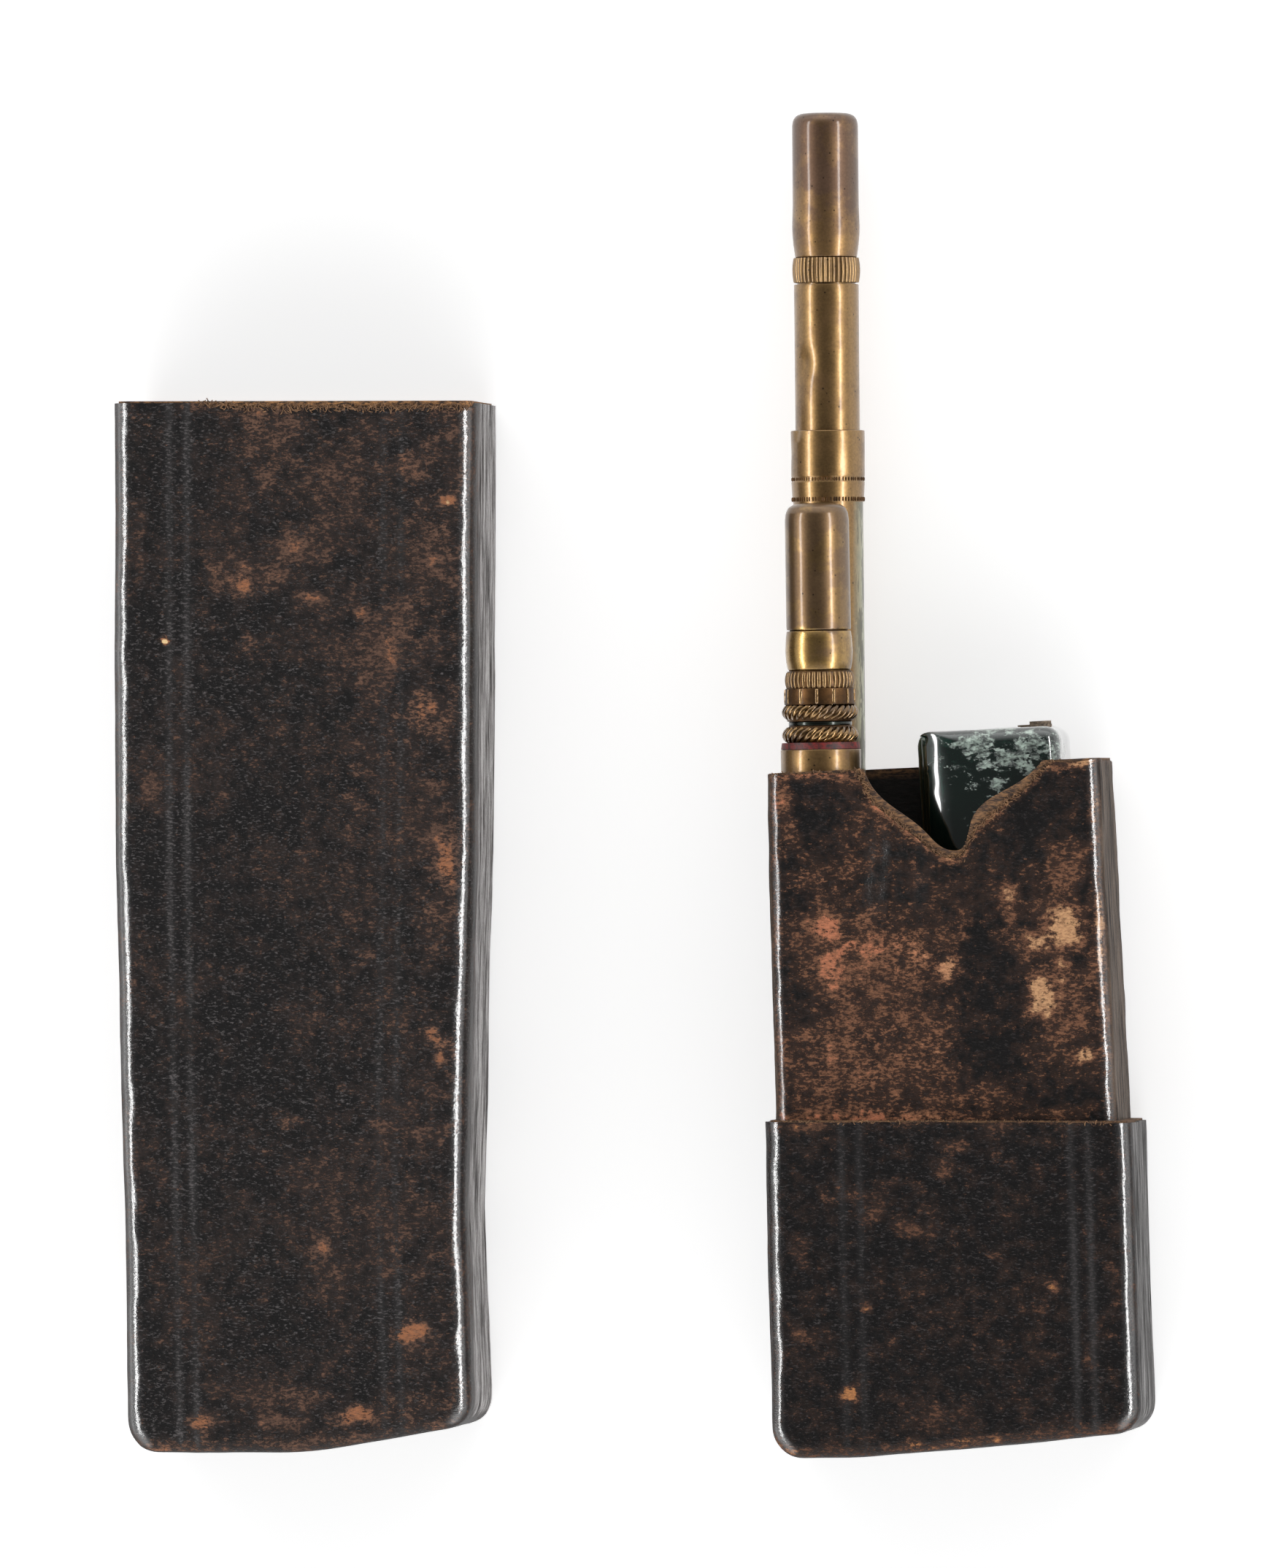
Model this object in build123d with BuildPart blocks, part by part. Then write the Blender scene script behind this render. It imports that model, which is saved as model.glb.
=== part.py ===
"""A portable writing box: a long leather cover, a short base with an inner sleeve,
a brass pen, a brass seal and a square ink bottle. It lies on its flat back.

X runs across the width, Y along the length towards the open ends and Z out of the back.
The origin is the middle of the base's flat back. Sizes are in millimetres.
"""

import os
from math import cos, radians, sin

from build123d import *

os.makedirs("parts", exist_ok=True)

# The case as a whole
CASE_DEPTH = 37.1
BASE_MIDDLE = 31.0
LONG_EDGE_R = 3.3
LEATHER = 0.8
FLOOR_BOARD = 1.5
PATCH_INSET = 6.0

# The base, by heights above its lowest point
BASE_RIM = 61.9
BASE_LEFT_RIM, BASE_LEFT_END = -34.2, -33.1
BASE_RIGHT_RIM, BASE_RIGHT_END = 33.0, 34.9
BASE_END_BREAK = -18.0
BASE_END_RISE = 5.2
BASE_CORNER_LEFT, BASE_CORNER_RIGHT = 6.0, 5.0
FLOOR_LEFT, FLOOR_RIGHT = 4.6, 8.2

# The sleeve that stands in the base
SLEEVE_BACK, SLEEVE_FRONT = 2.2, 34.9
SLEEVE_EDGE_R = 2.6
SLEEVE_LEATHER = 0.45
SLEEVE_WALL = 1.35
SLEEVE_LEFT_FOOT, SLEEVE_LEFT_RIM, SLEEVE_LEFT_TOP = -31.6, -32.6, -34.2
SLEEVE_RIGHT_FOOT, SLEEVE_RIGHT_RIM, SLEEVE_RIGHT_TOP = 31.9, 30.2, 26.8
SLEEVE_TOP_LEFT, SLEEVE_TOP_RIGHT = 125.2, 128.1
PARTITION_X, PARTITION_THICK = -15.4, 1.4
PARTITION_FOOT, PARTITION_TOP = 7.2, 88.0
SHELF_TOP, SHELF_THICK = 63.2, 1.6
# The torn gap in the sleeve's front, as the points that its edge runs through
TEAR = [(-16.4, 126.5), (-13.9, 121.7), (-5.2, 114.8), (-1.1, 111.4),
        (1.3, 111.3), (3.5, 116.6), (12.1, 123.6), (17.3, 128.8)]
TEAR_SCUFF = 1.1

# The cover
COVER_MOUTH = 193.4
COVER_LEFT = [(-154.3, COVER_MOUTH), (-154.2, 113.0), (-153.05, 73.2), (-152.4, 46.5)]
COVER_RIGHT = [(-88.15, 12.5), (-89.35, 46.5), (-88.9, 73.2), (-87.7, 113.0),
               (-87.45, COVER_MOUTH)]
COVER_END = [(-151.7, 0.9), (-117.5, 0.9), (-88.1, 6.1)]
COVER_CORNER_LEFT, COVER_CORNER_RIGHT = 6.0, 5.0
COVER_WALL = 1.85
COVER_END_WALL = 2.6
SOFT_BEND, HIP_BEND = 60.0, 3.0

# The pen: heights along its own axis, from the level of the base's lowest point
PEN_X, PEN_Z, PEN_LEAN = -23.6, 10.35, 0.5
PEN_BARREL_D, PEN_TUBE_D, PEN_COLLAR_D, PEN_CAP_D = 12.9, 11.9, 13.6, 12.1
PEN_CAP_BULGE_D, PEN_CAP_NECK_D, PEN_BEAD_D, PEN_SPIGOT_D = 12.4, 11.5, 12.4, 10.6
PEN_FOOT, PEN_TUBE_FOOT, PEN_COLLAR_FOOT, PEN_COLLAR_TOP = 7.5, 152.0, 175.1, 188.3
PEN_BEAD_FOOT, PEN_BEAD_TOP, PEN_TOP = 215.3, 220.1, 246.7
PEN_REEDS = 44

# The seal, in the same way
SEAL_X, SEAL_Z, SEAL_LEAN = -22.7, 25.85, 1.0
SEAL_BARREL_D, SEAL_FERRULE_D, SEAL_CORE_D, SEAL_CAP_D = 13.4, 14.7, 11.2, 11.8
SEAL_FOOT, SEAL_FERRULE_FOOT, SEAL_FERRULE_TOP = 7.5, 112.0, 129.7
SEAL_WAX_TOP, SEAL_ROPE_1_TOP, SEAL_ROPE_2_FOOT = 130.9, 134.0, 134.8
SEAL_FLUTE_FOOT, SEAL_REED_FOOT, SEAL_REED_TOP = 137.8, 140.9, 144.1
SEAL_CAP_FOOT, SEAL_TOP = 151.5, 174.8
ROPE_D, FLUTE_D, SEAL_REED_D = 14.1, 13.2, 12.7
ROPE_STRANDS, FLUTES, SEAL_REEDS = 34, 12, 46

# Brass walls and running fits
BRASS_WALL = 0.6
FIT = 0.05

# The square bottle and its cork
BOTTLE_X, BOTTLE_FOOT, BOTTLE_Z, BOTTLE_LEAN = 9.1, 64.0, 17.15, 2.8
BOTTLE_SIDE, BOTTLE_TALL, GLASS = 26.8, 69.6, 2.3
BOTTLE_EDGE_R, BOTTLE_SHOULDER_R, BOTTLE_FOOT_R = 3.2, 2.8, 1.5
MOUTH_X, MOUTH_D, CORK_LENGTH = 7.9, 6.4, 6.0


def level(height):
    """The cross-section plane at a height: its x is X and its y is Z."""
    return Plane.XZ.offset(BASE_MIDDLE - height)


def front_view(depth):
    """The plane at a depth over the back, in which y is a height above the base's end."""
    return Plane(origin=(0, -BASE_MIDDLE, depth), x_dir=(1, 0, 0), z_dir=(0, 0, 1))


def upright(x, z, lean):
    """The front-view plane of a piece whose axis leans to the left by so many degrees."""
    turn = radians(lean)
    return Plane(origin=(x, -BASE_MIDDLE, z), x_dir=(cos(turn), sin(turn), 0), z_dir=(0, 0, 1))


def across(frame, height):
    """The plane square to a leaning piece's axis, at a height along it."""
    return Plane(origin=frame.origin + frame.y_dir * height, x_dir=frame.x_dir,
                 z_dir=frame.y_dir)


def slab(points, bends, back, front, edge_r):
    """A flat body with the given front-view outline, open end square and all other edges
    rounded. The first and last points are the open end's corners."""
    with BuildPart() as body:
        with BuildSketch(front_view(back)):
            with BuildLine():
                side = FilletPolyline(*points, radius=bends)
                Line(side @ 1, side @ 0)
            make_face()
        extrude(amount=front - back)
        if edge_r > 0:
            flat = body.faces().sort_by(Axis.Z)
            mouth = body.faces().sort_by(Axis.Y)[-1]
            rims = [edge for edge in flat[0].edges() + flat[-1].edges()
                    if (edge @ 0.5).Y < mouth.center().Y - 0.01]
            fillet(rims, edge_r)
    return body.part


def along(near, far, height):
    """The x of a straight side at a height, from two of its (x, height) points."""
    return near[0] + (far[0] - near[0]) * (height - near[1]) / (far[1] - near[1])


def base_form(inset, grow=0.0):
    """The base's outer form, taken in by a wall, with its open end grown past the rim."""
    top = BASE_RIM + grow
    left, right = (BASE_LEFT_END, 0), (BASE_RIGHT_END, 0)
    left_rim, right_rim = (BASE_LEFT_RIM, BASE_RIM), (BASE_RIGHT_RIM, BASE_RIM)
    rise = BASE_END_RISE + inset
    points = [(along(left, left_rim, top) + inset, top),
              (along(left, left_rim, inset) + inset, inset),
              (BASE_END_BREAK, inset),
              (along(right, right_rim, rise) - inset, rise),
              (along(right, right_rim, top) - inset, top)]
    bends = [BASE_CORNER_LEFT - inset, SOFT_BEND, BASE_CORNER_RIGHT - inset]
    return slab(points, bends, inset, CASE_DEPTH - inset, LONG_EDGE_R - inset)


def cover_form(inset, end_inset, grow=0.0):
    """The cover's outer form, taken in by a wall, with its mouth grown past the rim."""
    top = COVER_MOUTH + grow
    left = [(along(COVER_LEFT[1], COVER_LEFT[0], top), top)] + COVER_LEFT[1:]
    right = COVER_RIGHT[:-1] + [(along(COVER_RIGHT[-2], COVER_RIGHT[-1], top), top)]
    corner, middle, far = COVER_END
    points = [(x + inset, height) for x, height in left]
    points += [(corner[0] + inset, corner[1] + end_inset), (middle[0], middle[1] + end_inset),
               (far[0] - inset, far[1] + end_inset)]
    points += [(x - inset, height) for x, height in right]
    bends = [SOFT_BEND] * 3 + [COVER_CORNER_LEFT - inset, SOFT_BEND, COVER_CORNER_RIGHT - inset]
    bends += [HIP_BEND] + [SOFT_BEND] * 3
    return slab(points, bends, inset, CASE_DEPTH - inset, LONG_EDGE_R - inset)


def end_block(end_line, inset, thick):
    """A block that follows an end's line in the front view and reaches a little below it."""
    under = [(x, height - 3) for x, height in end_line]
    over = [(x, height + thick) for x, height in reversed(end_line)]
    with BuildPart() as body:
        with BuildSketch(front_view(inset)):
            with BuildLine():
                Polyline(*under, *over, close=True)
            make_face()
        extrude(amount=CASE_DEPTH - 2 * inset)
    return body.part


def sleeve_form(inset, lift=0.0, grow=0.0):
    """The sleeve's outer form, taken in by a wall. It stands on the base's slanting floor,
    lifted by lift, and its slanting top is raised by grow."""
    left, right = (SLEEVE_LEFT_FOOT, 0), (SLEEVE_RIGHT_FOOT, 0)
    left_rim, right_rim = (SLEEVE_LEFT_RIM, BASE_RIM), (SLEEVE_RIGHT_RIM, BASE_RIM)
    left_top, right_top = (SLEEVE_LEFT_TOP, SLEEVE_TOP_LEFT), (SLEEVE_RIGHT_TOP, SLEEVE_TOP_RIGHT)
    slope = (FLOOR_RIGHT - FLOOR_LEFT) / (SLEEVE_RIGHT_FOOT - SLEEVE_LEFT_FOOT)
    low, high = FLOOR_LEFT + lift + slope * inset, FLOOR_RIGHT + lift - slope * inset
    top_low, top_high = SLEEVE_TOP_LEFT + grow, SLEEVE_TOP_RIGHT + grow
    with BuildPart() as body:
        with BuildSketch(front_view(SLEEVE_BACK + inset)):
            with BuildLine():
                Polyline((along(left_rim, left_top, top_low) + inset, top_low),
                         (SLEEVE_LEFT_RIM + inset, BASE_RIM),
                         (along(left, left_rim, low) + inset, low),
                         (along(right, right_rim, high) - inset, high),
                         (SLEEVE_RIGHT_RIM - inset, BASE_RIM),
                         (along(right_rim, right_top, top_high) - inset, top_high), close=True)
            make_face()
        extrude(amount=SLEEVE_FRONT - SLEEVE_BACK - 2 * inset)
        flat = body.faces().sort_by(Axis.Z)
        sides = [edge for edge in flat[0].edges() + flat[-1].edges()
                 if abs((edge % 0.5).Y) > 0.9]
        fillet(sides, max(SLEEVE_EDGE_R - inset, 1.2))
    return body.part


def tear_cutter(scuff):
    """The torn gap, as a block through the sleeve's front wall alone."""
    drop = scuff * 1.2
    points = [(TEAR[0][0] - scuff, TEAR[0][1])]
    points += [(x - scuff * (x < 0) + scuff * (x > 3) * 0.9, h - drop) for x, h in TEAR[1:-1]]
    points += [(TEAR[-1][0] + scuff, TEAR[-1][1])]
    with BuildPart() as body:
        with BuildSketch(front_view(SLEEVE_FRONT - 4)):
            with BuildLine():
                torn = Spline(*points)
                Polyline(torn @ 1, (torn @ 1) + (2, 12), (torn @ 0) + (-2, 12), torn @ 0)
            make_face()
        extrude(amount=8)
    return body.part


def turned(frame, outline):
    """A piece turned on a lathe: an outline of (radius, height) spun about the frame's axis."""
    with BuildPart() as body:
        with BuildSketch(frame):
            with BuildLine():
                Polyline(*outline, close=True)
            make_face()
        revolve(axis=Axis(frame.origin, frame.y_dir))
    return body.part


def bead(frame, foot, top, inner_r, outer_r, belly_at=0.5, round_by=0.55):
    """A turned ring with a rounded face, fullest at a share of its height."""
    belly = foot + (top - foot) * belly_at
    shy = outer_r - round_by
    with BuildPart() as body:
        with BuildSketch(frame):
            with BuildLine():
                curve = Spline((shy, foot), (outer_r, belly), (shy, top))
                Polyline(curve @ 1, (inner_r, top), (inner_r, foot), curve @ 0)
            make_face()
        revolve(axis=Axis(frame.origin, frame.y_dir))
    return body.part


def grooves(plane, ring_r, count, groove_r, length, slant=0.0):
    """Round rods in a circle about a plane's axis, to be cut away between reeds or strands."""
    with BuildPart(plane) as rods:
        with PolarLocations(ring_r, count):
            Cylinder(groove_r, length, rotation=(slant, 0, 0))
    return rods.part


def save(piece, label):
    """Name a finished piece and write it."""
    piece.part.label = label
    export_step(piece.part, f"parts/{label}.step")


# The base: layered board under black leather, with a patch pasted over the closed end
base_patch = end_block([(BASE_LEFT_END + PATCH_INSET, 0), (BASE_END_BREAK, 0),
                        (BASE_RIGHT_END - PATCH_INSET, BASE_END_RISE - 0.6)],
                       PATCH_INSET, LEATHER * 2)

with BuildPart() as base_board:
    add(base_form(LEATHER))
    add(sleeve_form(0, grow=5), mode=Mode.SUBTRACT)
save(base_board, "base_board")

with BuildPart() as base_leather:
    add(base_form(0))
    add(base_form(LEATHER, grow=5), mode=Mode.SUBTRACT)
    add(base_patch, mode=Mode.SUBTRACT)
save(base_leather, "base_leather")

with BuildPart() as base_end_leather:
    add(base_form(0))
    add(base_form(LEATHER, grow=5), mode=Mode.SUBTRACT)
    add(base_patch, mode=Mode.INTERSECT)
save(base_end_leather, "base_end_leather")

with BuildPart() as base_floor_board:
    add(sleeve_form(0))
    add(sleeve_form(0, lift=FLOOR_BOARD), mode=Mode.SUBTRACT)
save(base_floor_board, "base_floor_board")

# The sleeve: a board tube under its own thin leather, torn open at the front of its rim
with BuildPart() as sleeve_board:
    add(sleeve_form(SLEEVE_LEATHER, lift=FLOOR_BOARD))
    add(sleeve_form(SLEEVE_WALL, lift=-5, grow=5), mode=Mode.SUBTRACT)
    add(tear_cutter(0), mode=Mode.SUBTRACT)
save(sleeve_board, "sleeve_board")

with BuildPart() as sleeve_leather:
    add(sleeve_form(0, lift=FLOOR_BOARD))
    add(sleeve_form(SLEEVE_LEATHER, lift=-5, grow=5), mode=Mode.SUBTRACT)
    add(tear_cutter(TEAR_SCUFF), mode=Mode.SUBTRACT)
save(sleeve_leather, "sleeve_leather")

inner_back, inner_front = SLEEVE_BACK + SLEEVE_WALL, SLEEVE_FRONT - SLEEVE_WALL
with BuildPart() as well_partition:
    with BuildSketch(level(PARTITION_FOOT)):
        with Locations((PARTITION_X + PARTITION_THICK / 2, (inner_back + inner_front) / 2)):
            Rectangle(PARTITION_THICK, inner_front - inner_back)
    extrude(amount=-(PARTITION_TOP - PARTITION_FOOT))
save(well_partition, "well_partition")

shelf_left = PARTITION_X + PARTITION_THICK
shelf_right = SLEEVE_RIGHT_RIM - SLEEVE_WALL - 0.15
with BuildPart() as bottle_shelf:
    with BuildSketch(level(SHELF_TOP - SHELF_THICK)):
        with Locations(((shelf_left + shelf_right) / 2, (inner_back + inner_front) / 2)):
            Rectangle(shelf_right - shelf_left, inner_front - inner_back)
    extrude(amount=-SHELF_THICK)
    fillet(bottle_shelf.edges().filter_by(Axis.Y).group_by(Axis.X)[-1], 1.3)
save(bottle_shelf, "bottle_shelf")

# The cover: the same make, long enough to take the pen as it stands
(end_x0, end_h0), (end_x1, end_h1), (end_x2, end_h2) = COVER_END
cover_patch = end_block([(end_x0 + PATCH_INSET, end_h0), (end_x1, end_h1),
                         (end_x2 - PATCH_INSET, end_h2 - 1.0)], PATCH_INSET, LEATHER * 2)
cover_floor = end_block([(end_x0 - 1, end_h0 + COVER_END_WALL), (end_x1, end_h1 + COVER_END_WALL),
                         (end_x2 + 1, end_h2 + COVER_END_WALL)], COVER_WALL, FLOOR_BOARD)

with BuildPart() as cover_board:
    add(cover_form(LEATHER, LEATHER))
    add(cover_form(COVER_WALL, COVER_END_WALL, grow=5), mode=Mode.SUBTRACT)
save(cover_board, "cover_board")

with BuildPart() as cover_leather:
    add(cover_form(0, 0))
    add(cover_form(LEATHER, LEATHER, grow=5), mode=Mode.SUBTRACT)
    add(cover_patch, mode=Mode.SUBTRACT)
save(cover_leather, "cover_leather")

with BuildPart() as cover_end_leather:
    add(cover_form(0, 0))
    add(cover_form(LEATHER, LEATHER, grow=5), mode=Mode.SUBTRACT)
    add(cover_patch, mode=Mode.INTERSECT)
save(cover_end_leather, "cover_end_leather")

with BuildPart() as cover_end_board:
    add(cover_form(COVER_WALL, COVER_END_WALL))
    add(cover_floor, mode=Mode.INTERSECT)
save(cover_end_board, "cover_end_board")

# The pen: a barrel and collar, a tube that draws out of them, and a cap over the nib
pen = upright(PEN_X, PEN_Z, PEN_LEAN)
tube_r = PEN_TUBE_D / 2
bore_r = tube_r + FIT
barrel_r = PEN_BARREL_D / 2
collar_r = PEN_COLLAR_D / 2
spigot_r = PEN_SPIGOT_D / 2
BARREL_TOP = 183.0

with BuildPart() as pen_barrel:
    add(turned(pen, [(bore_r, PEN_FOOT + 1.2), (barrel_r, PEN_FOOT + 1.2),
                     (barrel_r, BARREL_TOP), (bore_r, BARREL_TOP)]))
save(pen_barrel, "pen_barrel")

with BuildPart() as pen_foot:
    add(turned(pen, [(0, PEN_FOOT), (barrel_r - 1.2, PEN_FOOT), (barrel_r, PEN_FOOT + 1.2),
                     (bore_r, PEN_FOOT + 1.2), (bore_r, PEN_FOOT + 3.0), (0, PEN_FOOT + 3.0)]))
save(pen_foot, "pen_foot")

with BuildPart() as pen_collar:
    add(turned(pen, [(barrel_r, PEN_COLLAR_FOOT), (collar_r - 0.25, PEN_COLLAR_FOOT),
                     (collar_r, PEN_COLLAR_TOP - 4), (collar_r, PEN_COLLAR_TOP),
                     (bore_r, PEN_COLLAR_TOP), (bore_r, BARREL_TOP), (barrel_r, BARREL_TOP)]))
save(pen_collar, "pen_collar")

with BuildPart() as pen_tube:
    add(turned(pen, [(tube_r - BRASS_WALL, PEN_TUBE_FOOT), (tube_r, PEN_TUBE_FOOT),
                     (tube_r, PEN_BEAD_FOOT - 0.1), (tube_r - BRASS_WALL, PEN_BEAD_FOOT - 0.1)]))
save(pen_tube, "pen_tube")

NIB_R, NIB_FOOT, NIB_TIP = 2.75, 217.0, 238.5
with BuildPart() as nib_socket:
    add(turned(pen, [(0, 209.0), (tube_r - BRASS_WALL, 209.0),
                     (tube_r - BRASS_WALL, PEN_BEAD_FOOT - 0.1), (spigot_r, PEN_BEAD_FOOT + 0.4),
                     (spigot_r, 225.5), (4.2, 228.0), (NIB_R, 228.0), (NIB_R, NIB_FOOT),
                     (0, NIB_FOOT)]))
save(nib_socket, "nib_socket")

# A reed cut to a nib: a scoop takes away its front half towards the tip
with BuildPart() as reed_nib:
    add(turned(pen, [(0, NIB_FOOT), (NIB_R, NIB_FOOT), (NIB_R, 231.0), (0.9, NIB_TIP),
                     (0, NIB_TIP)]))
    with BuildSketch(Plane(origin=pen.origin - pen.x_dir * 5, x_dir=pen.z_dir,
                           z_dir=pen.x_dir)):
        with BuildLine():
            scoop = Spline((4.0, 229.0), (0.6, 233.0), (-0.6, NIB_TIP + 1))
            Polyline(scoop @ 1, (5.0, NIB_TIP + 1), (5.0, 229.0), scoop @ 0)
        make_face()
    extrude(amount=10, mode=Mode.SUBTRACT)
save(reed_nib, "reed_nib")

cap_r, bulge_r, neck_r = PEN_CAP_D / 2, PEN_CAP_BULGE_D / 2, PEN_CAP_NECK_D / 2
cap_bore = spigot_r + FIT
with BuildPart() as pen_cap:
    with BuildSketch(pen):
        with BuildLine():
            dome = CenterArc((cap_r - 2.0, PEN_TOP - 2.0), 2.0, 0, 90)
            swell = Spline((cap_r, 229.5), (bulge_r, 225.3), (neck_r, 220.6),
                           tangents=[(0, -1), (-0.25, -1)], tangent_scalars=[1, 1])
            Line(dome @ 0, swell @ 0)
            Polyline(swell @ 1, (cap_r - 0.4, PEN_BEAD_TOP), (cap_r - 0.4, PEN_BEAD_FOOT),
                     (cap_bore, PEN_BEAD_FOOT), (cap_bore, PEN_TOP - 2.2),
                     (cap_bore - 1.6, PEN_TOP - 0.8), (0, PEN_TOP - 0.8), (0, PEN_TOP),
                     dome @ 1)
        make_face()
    revolve(axis=Axis(pen.origin, pen.y_dir))
save(pen_cap, "pen_cap")

with BuildPart() as pen_cap_bead:
    add(bead(pen, PEN_BEAD_FOOT, PEN_BEAD_TOP, cap_r - 0.4, PEN_BEAD_D / 2 + 0.05, 0.5, 0.35))
    add(grooves(across(pen, (PEN_BEAD_FOOT + PEN_BEAD_TOP) / 2), PEN_BEAD_D / 2 + 0.12,
                PEN_REEDS, 0.3, 6.0), mode=Mode.SUBTRACT)
save(pen_cap_bead, "pen_cap_bead")

# The seal: a barrel and ferrule, a turned neck that carries the rings, and a domed cap
seal = upright(SEAL_X, SEAL_Z, SEAL_LEAN)
core_r, ferrule_r, seal_r = SEAL_CORE_D / 2, SEAL_FERRULE_D / 2, SEAL_BARREL_D / 2

with BuildPart() as seal_barrel:
    add(turned(seal, [(0, SEAL_FOOT), (seal_r - 1.4, SEAL_FOOT), (seal_r, SEAL_FOOT + 1.4),
                      (seal_r, SEAL_FERRULE_TOP - 1), (seal_r - BRASS_WALL, SEAL_FERRULE_TOP - 1),
                      (seal_r - BRASS_WALL, SEAL_FOOT + 1.6), (0, SEAL_FOOT + 1.6)]))
save(seal_barrel, "seal_barrel")

with BuildPart() as seal_ferrule:
    add(turned(seal, [(seal_r, SEAL_FERRULE_FOOT), (ferrule_r - 0.3, SEAL_FERRULE_FOOT),
                      (ferrule_r, SEAL_FERRULE_FOOT + 0.3), (ferrule_r, SEAL_FERRULE_TOP),
                      (ferrule_r - 0.5, SEAL_FERRULE_TOP), (ferrule_r - 0.5, SEAL_WAX_TOP),
                      (core_r, SEAL_WAX_TOP), (core_r, SEAL_FERRULE_TOP - 1),
                      (seal_r, SEAL_FERRULE_TOP - 1)]))
save(seal_ferrule, "seal_ferrule")

with BuildPart() as wax_ring:
    add(turned(seal, [(ferrule_r - 0.5, SEAL_FERRULE_TOP), (ferrule_r - 0.08, SEAL_FERRULE_TOP),
                      (ferrule_r - 0.25, SEAL_WAX_TOP), (ferrule_r - 0.5, SEAL_WAX_TOP)]))
save(wax_ring, "wax_ring")


def rope_ring(foot, top, name):
    """A ring cut like a twisted rope: slanting grooves across a rounded bead."""
    with BuildPart() as ring:
        add(bead(seal, foot, top, core_r, ROPE_D / 2, 0.45, 0.75))
        add(grooves(across(seal, (foot + top) / 2 - 0.2), ROPE_D / 2 + 0.1, ROPE_STRANDS,
                    0.36, 6.0, slant=-34), mode=Mode.SUBTRACT)
    save(ring, name)


rope_ring(SEAL_WAX_TOP, SEAL_ROPE_1_TOP, "lower_rope_ring")
rope_ring(SEAL_ROPE_2_FOOT, SEAL_FLUTE_FOOT, "upper_rope_ring")

with BuildPart() as fluted_band:
    add(turned(seal, [(core_r, SEAL_FLUTE_FOOT), (FLUTE_D / 2 + 0.1, SEAL_FLUTE_FOOT),
                      (FLUTE_D / 2, SEAL_REED_FOOT - 0.15), (FLUTE_D / 2 - 0.15, SEAL_REED_FOOT),
                      (core_r, SEAL_REED_FOOT)]))
    add(grooves(across(seal, (SEAL_FLUTE_FOOT + SEAL_REED_FOOT) / 2 - 0.15), FLUTE_D / 2 + 1.75,
                FLUTES, 2.15, 2.3), mode=Mode.SUBTRACT)
save(fluted_band, "fluted_band")

with BuildPart() as seal_reeded_ring:
    add(bead(seal, SEAL_REED_FOOT, SEAL_REED_TOP, core_r, SEAL_REED_D / 2 + 0.05, 0.35, 0.45))
    add(grooves(across(seal, (SEAL_REED_FOOT + SEAL_REED_TOP) / 2), SEAL_REED_D / 2 + 0.1,
                SEAL_REEDS, 0.28, 6.0), mode=Mode.SUBTRACT)
save(seal_reeded_ring, "seal_reeded_ring")

seal_cap_r = SEAL_CAP_D / 2
DIE_FOOT, DIE_TOP = 163.0, 166.0
with BuildPart() as seal_neck:
    with BuildSketch(seal):
        with BuildLine():
            waist = Spline((seal_cap_r, SEAL_CAP_FOOT - 0.2), (6.2, 147.2), (5.75, 144.5),
                           tangents=[(0, -1), (-0.25, -1)], tangent_scalars=[1, 1])
            Polyline(waist @ 1, (core_r, SEAL_REED_TOP), (core_r, SEAL_ROPE_2_FOOT),
                     (core_r + 0.6, SEAL_ROPE_2_FOOT), (core_r + 0.6, SEAL_ROPE_1_TOP),
                     (core_r, SEAL_ROPE_1_TOP), (core_r, 122.0), (core_r - 0.8, 122.0),
                     (core_r - 0.8, DIE_FOOT), (spigot_r, DIE_FOOT),
                     (spigot_r, SEAL_CAP_FOOT - 0.2), waist @ 0)
        make_face()
    revolve(axis=Axis(seal.origin, seal.y_dir))
save(seal_neck, "seal_neck")

with BuildPart() as seal_die:
    add(turned(seal, [(0, DIE_FOOT - 3), (core_r - 0.8, DIE_FOOT - 3), (core_r - 0.8, DIE_FOOT),
                      (spigot_r - 0.1, DIE_FOOT), (spigot_r - 0.1, DIE_TOP - 0.4),
                      (spigot_r - 0.5, DIE_TOP), (0, DIE_TOP)]))
save(seal_die, "seal_die")

with BuildPart() as seal_cap:
    with BuildSketch(seal):
        with BuildLine():
            crown = Spline((seal_cap_r, SEAL_TOP - 3.0), (seal_cap_r - 1.0, SEAL_TOP - 0.8),
                           (0, SEAL_TOP), tangents=[(0, 1), (-1, 0)])
            Polyline(crown @ 0, (seal_cap_r, SEAL_CAP_FOOT), (cap_bore, SEAL_CAP_FOOT),
                     (cap_bore, SEAL_TOP - 3.0), (cap_bore - 1.6, SEAL_TOP - 1.4),
                     (0, SEAL_TOP - 0.8), (0, SEAL_TOP))
        make_face()
    revolve(axis=Axis(seal.origin, seal.y_dir))
save(seal_cap, "seal_cap")

# The bottle: thick square glass with round shoulders, and a mouth near one side
bottle = Plane(origin=(BOTTLE_X, BOTTLE_FOOT - BASE_MIDDLE, BOTTLE_Z),
               x_dir=(cos(radians(BOTTLE_LEAN)), sin(radians(BOTTLE_LEAN)), 0), z_dir=(0, 0, 1))


def bottle_level(height):
    """The plane across the bottle at a height above its foot."""
    return across(bottle, height)


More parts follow.
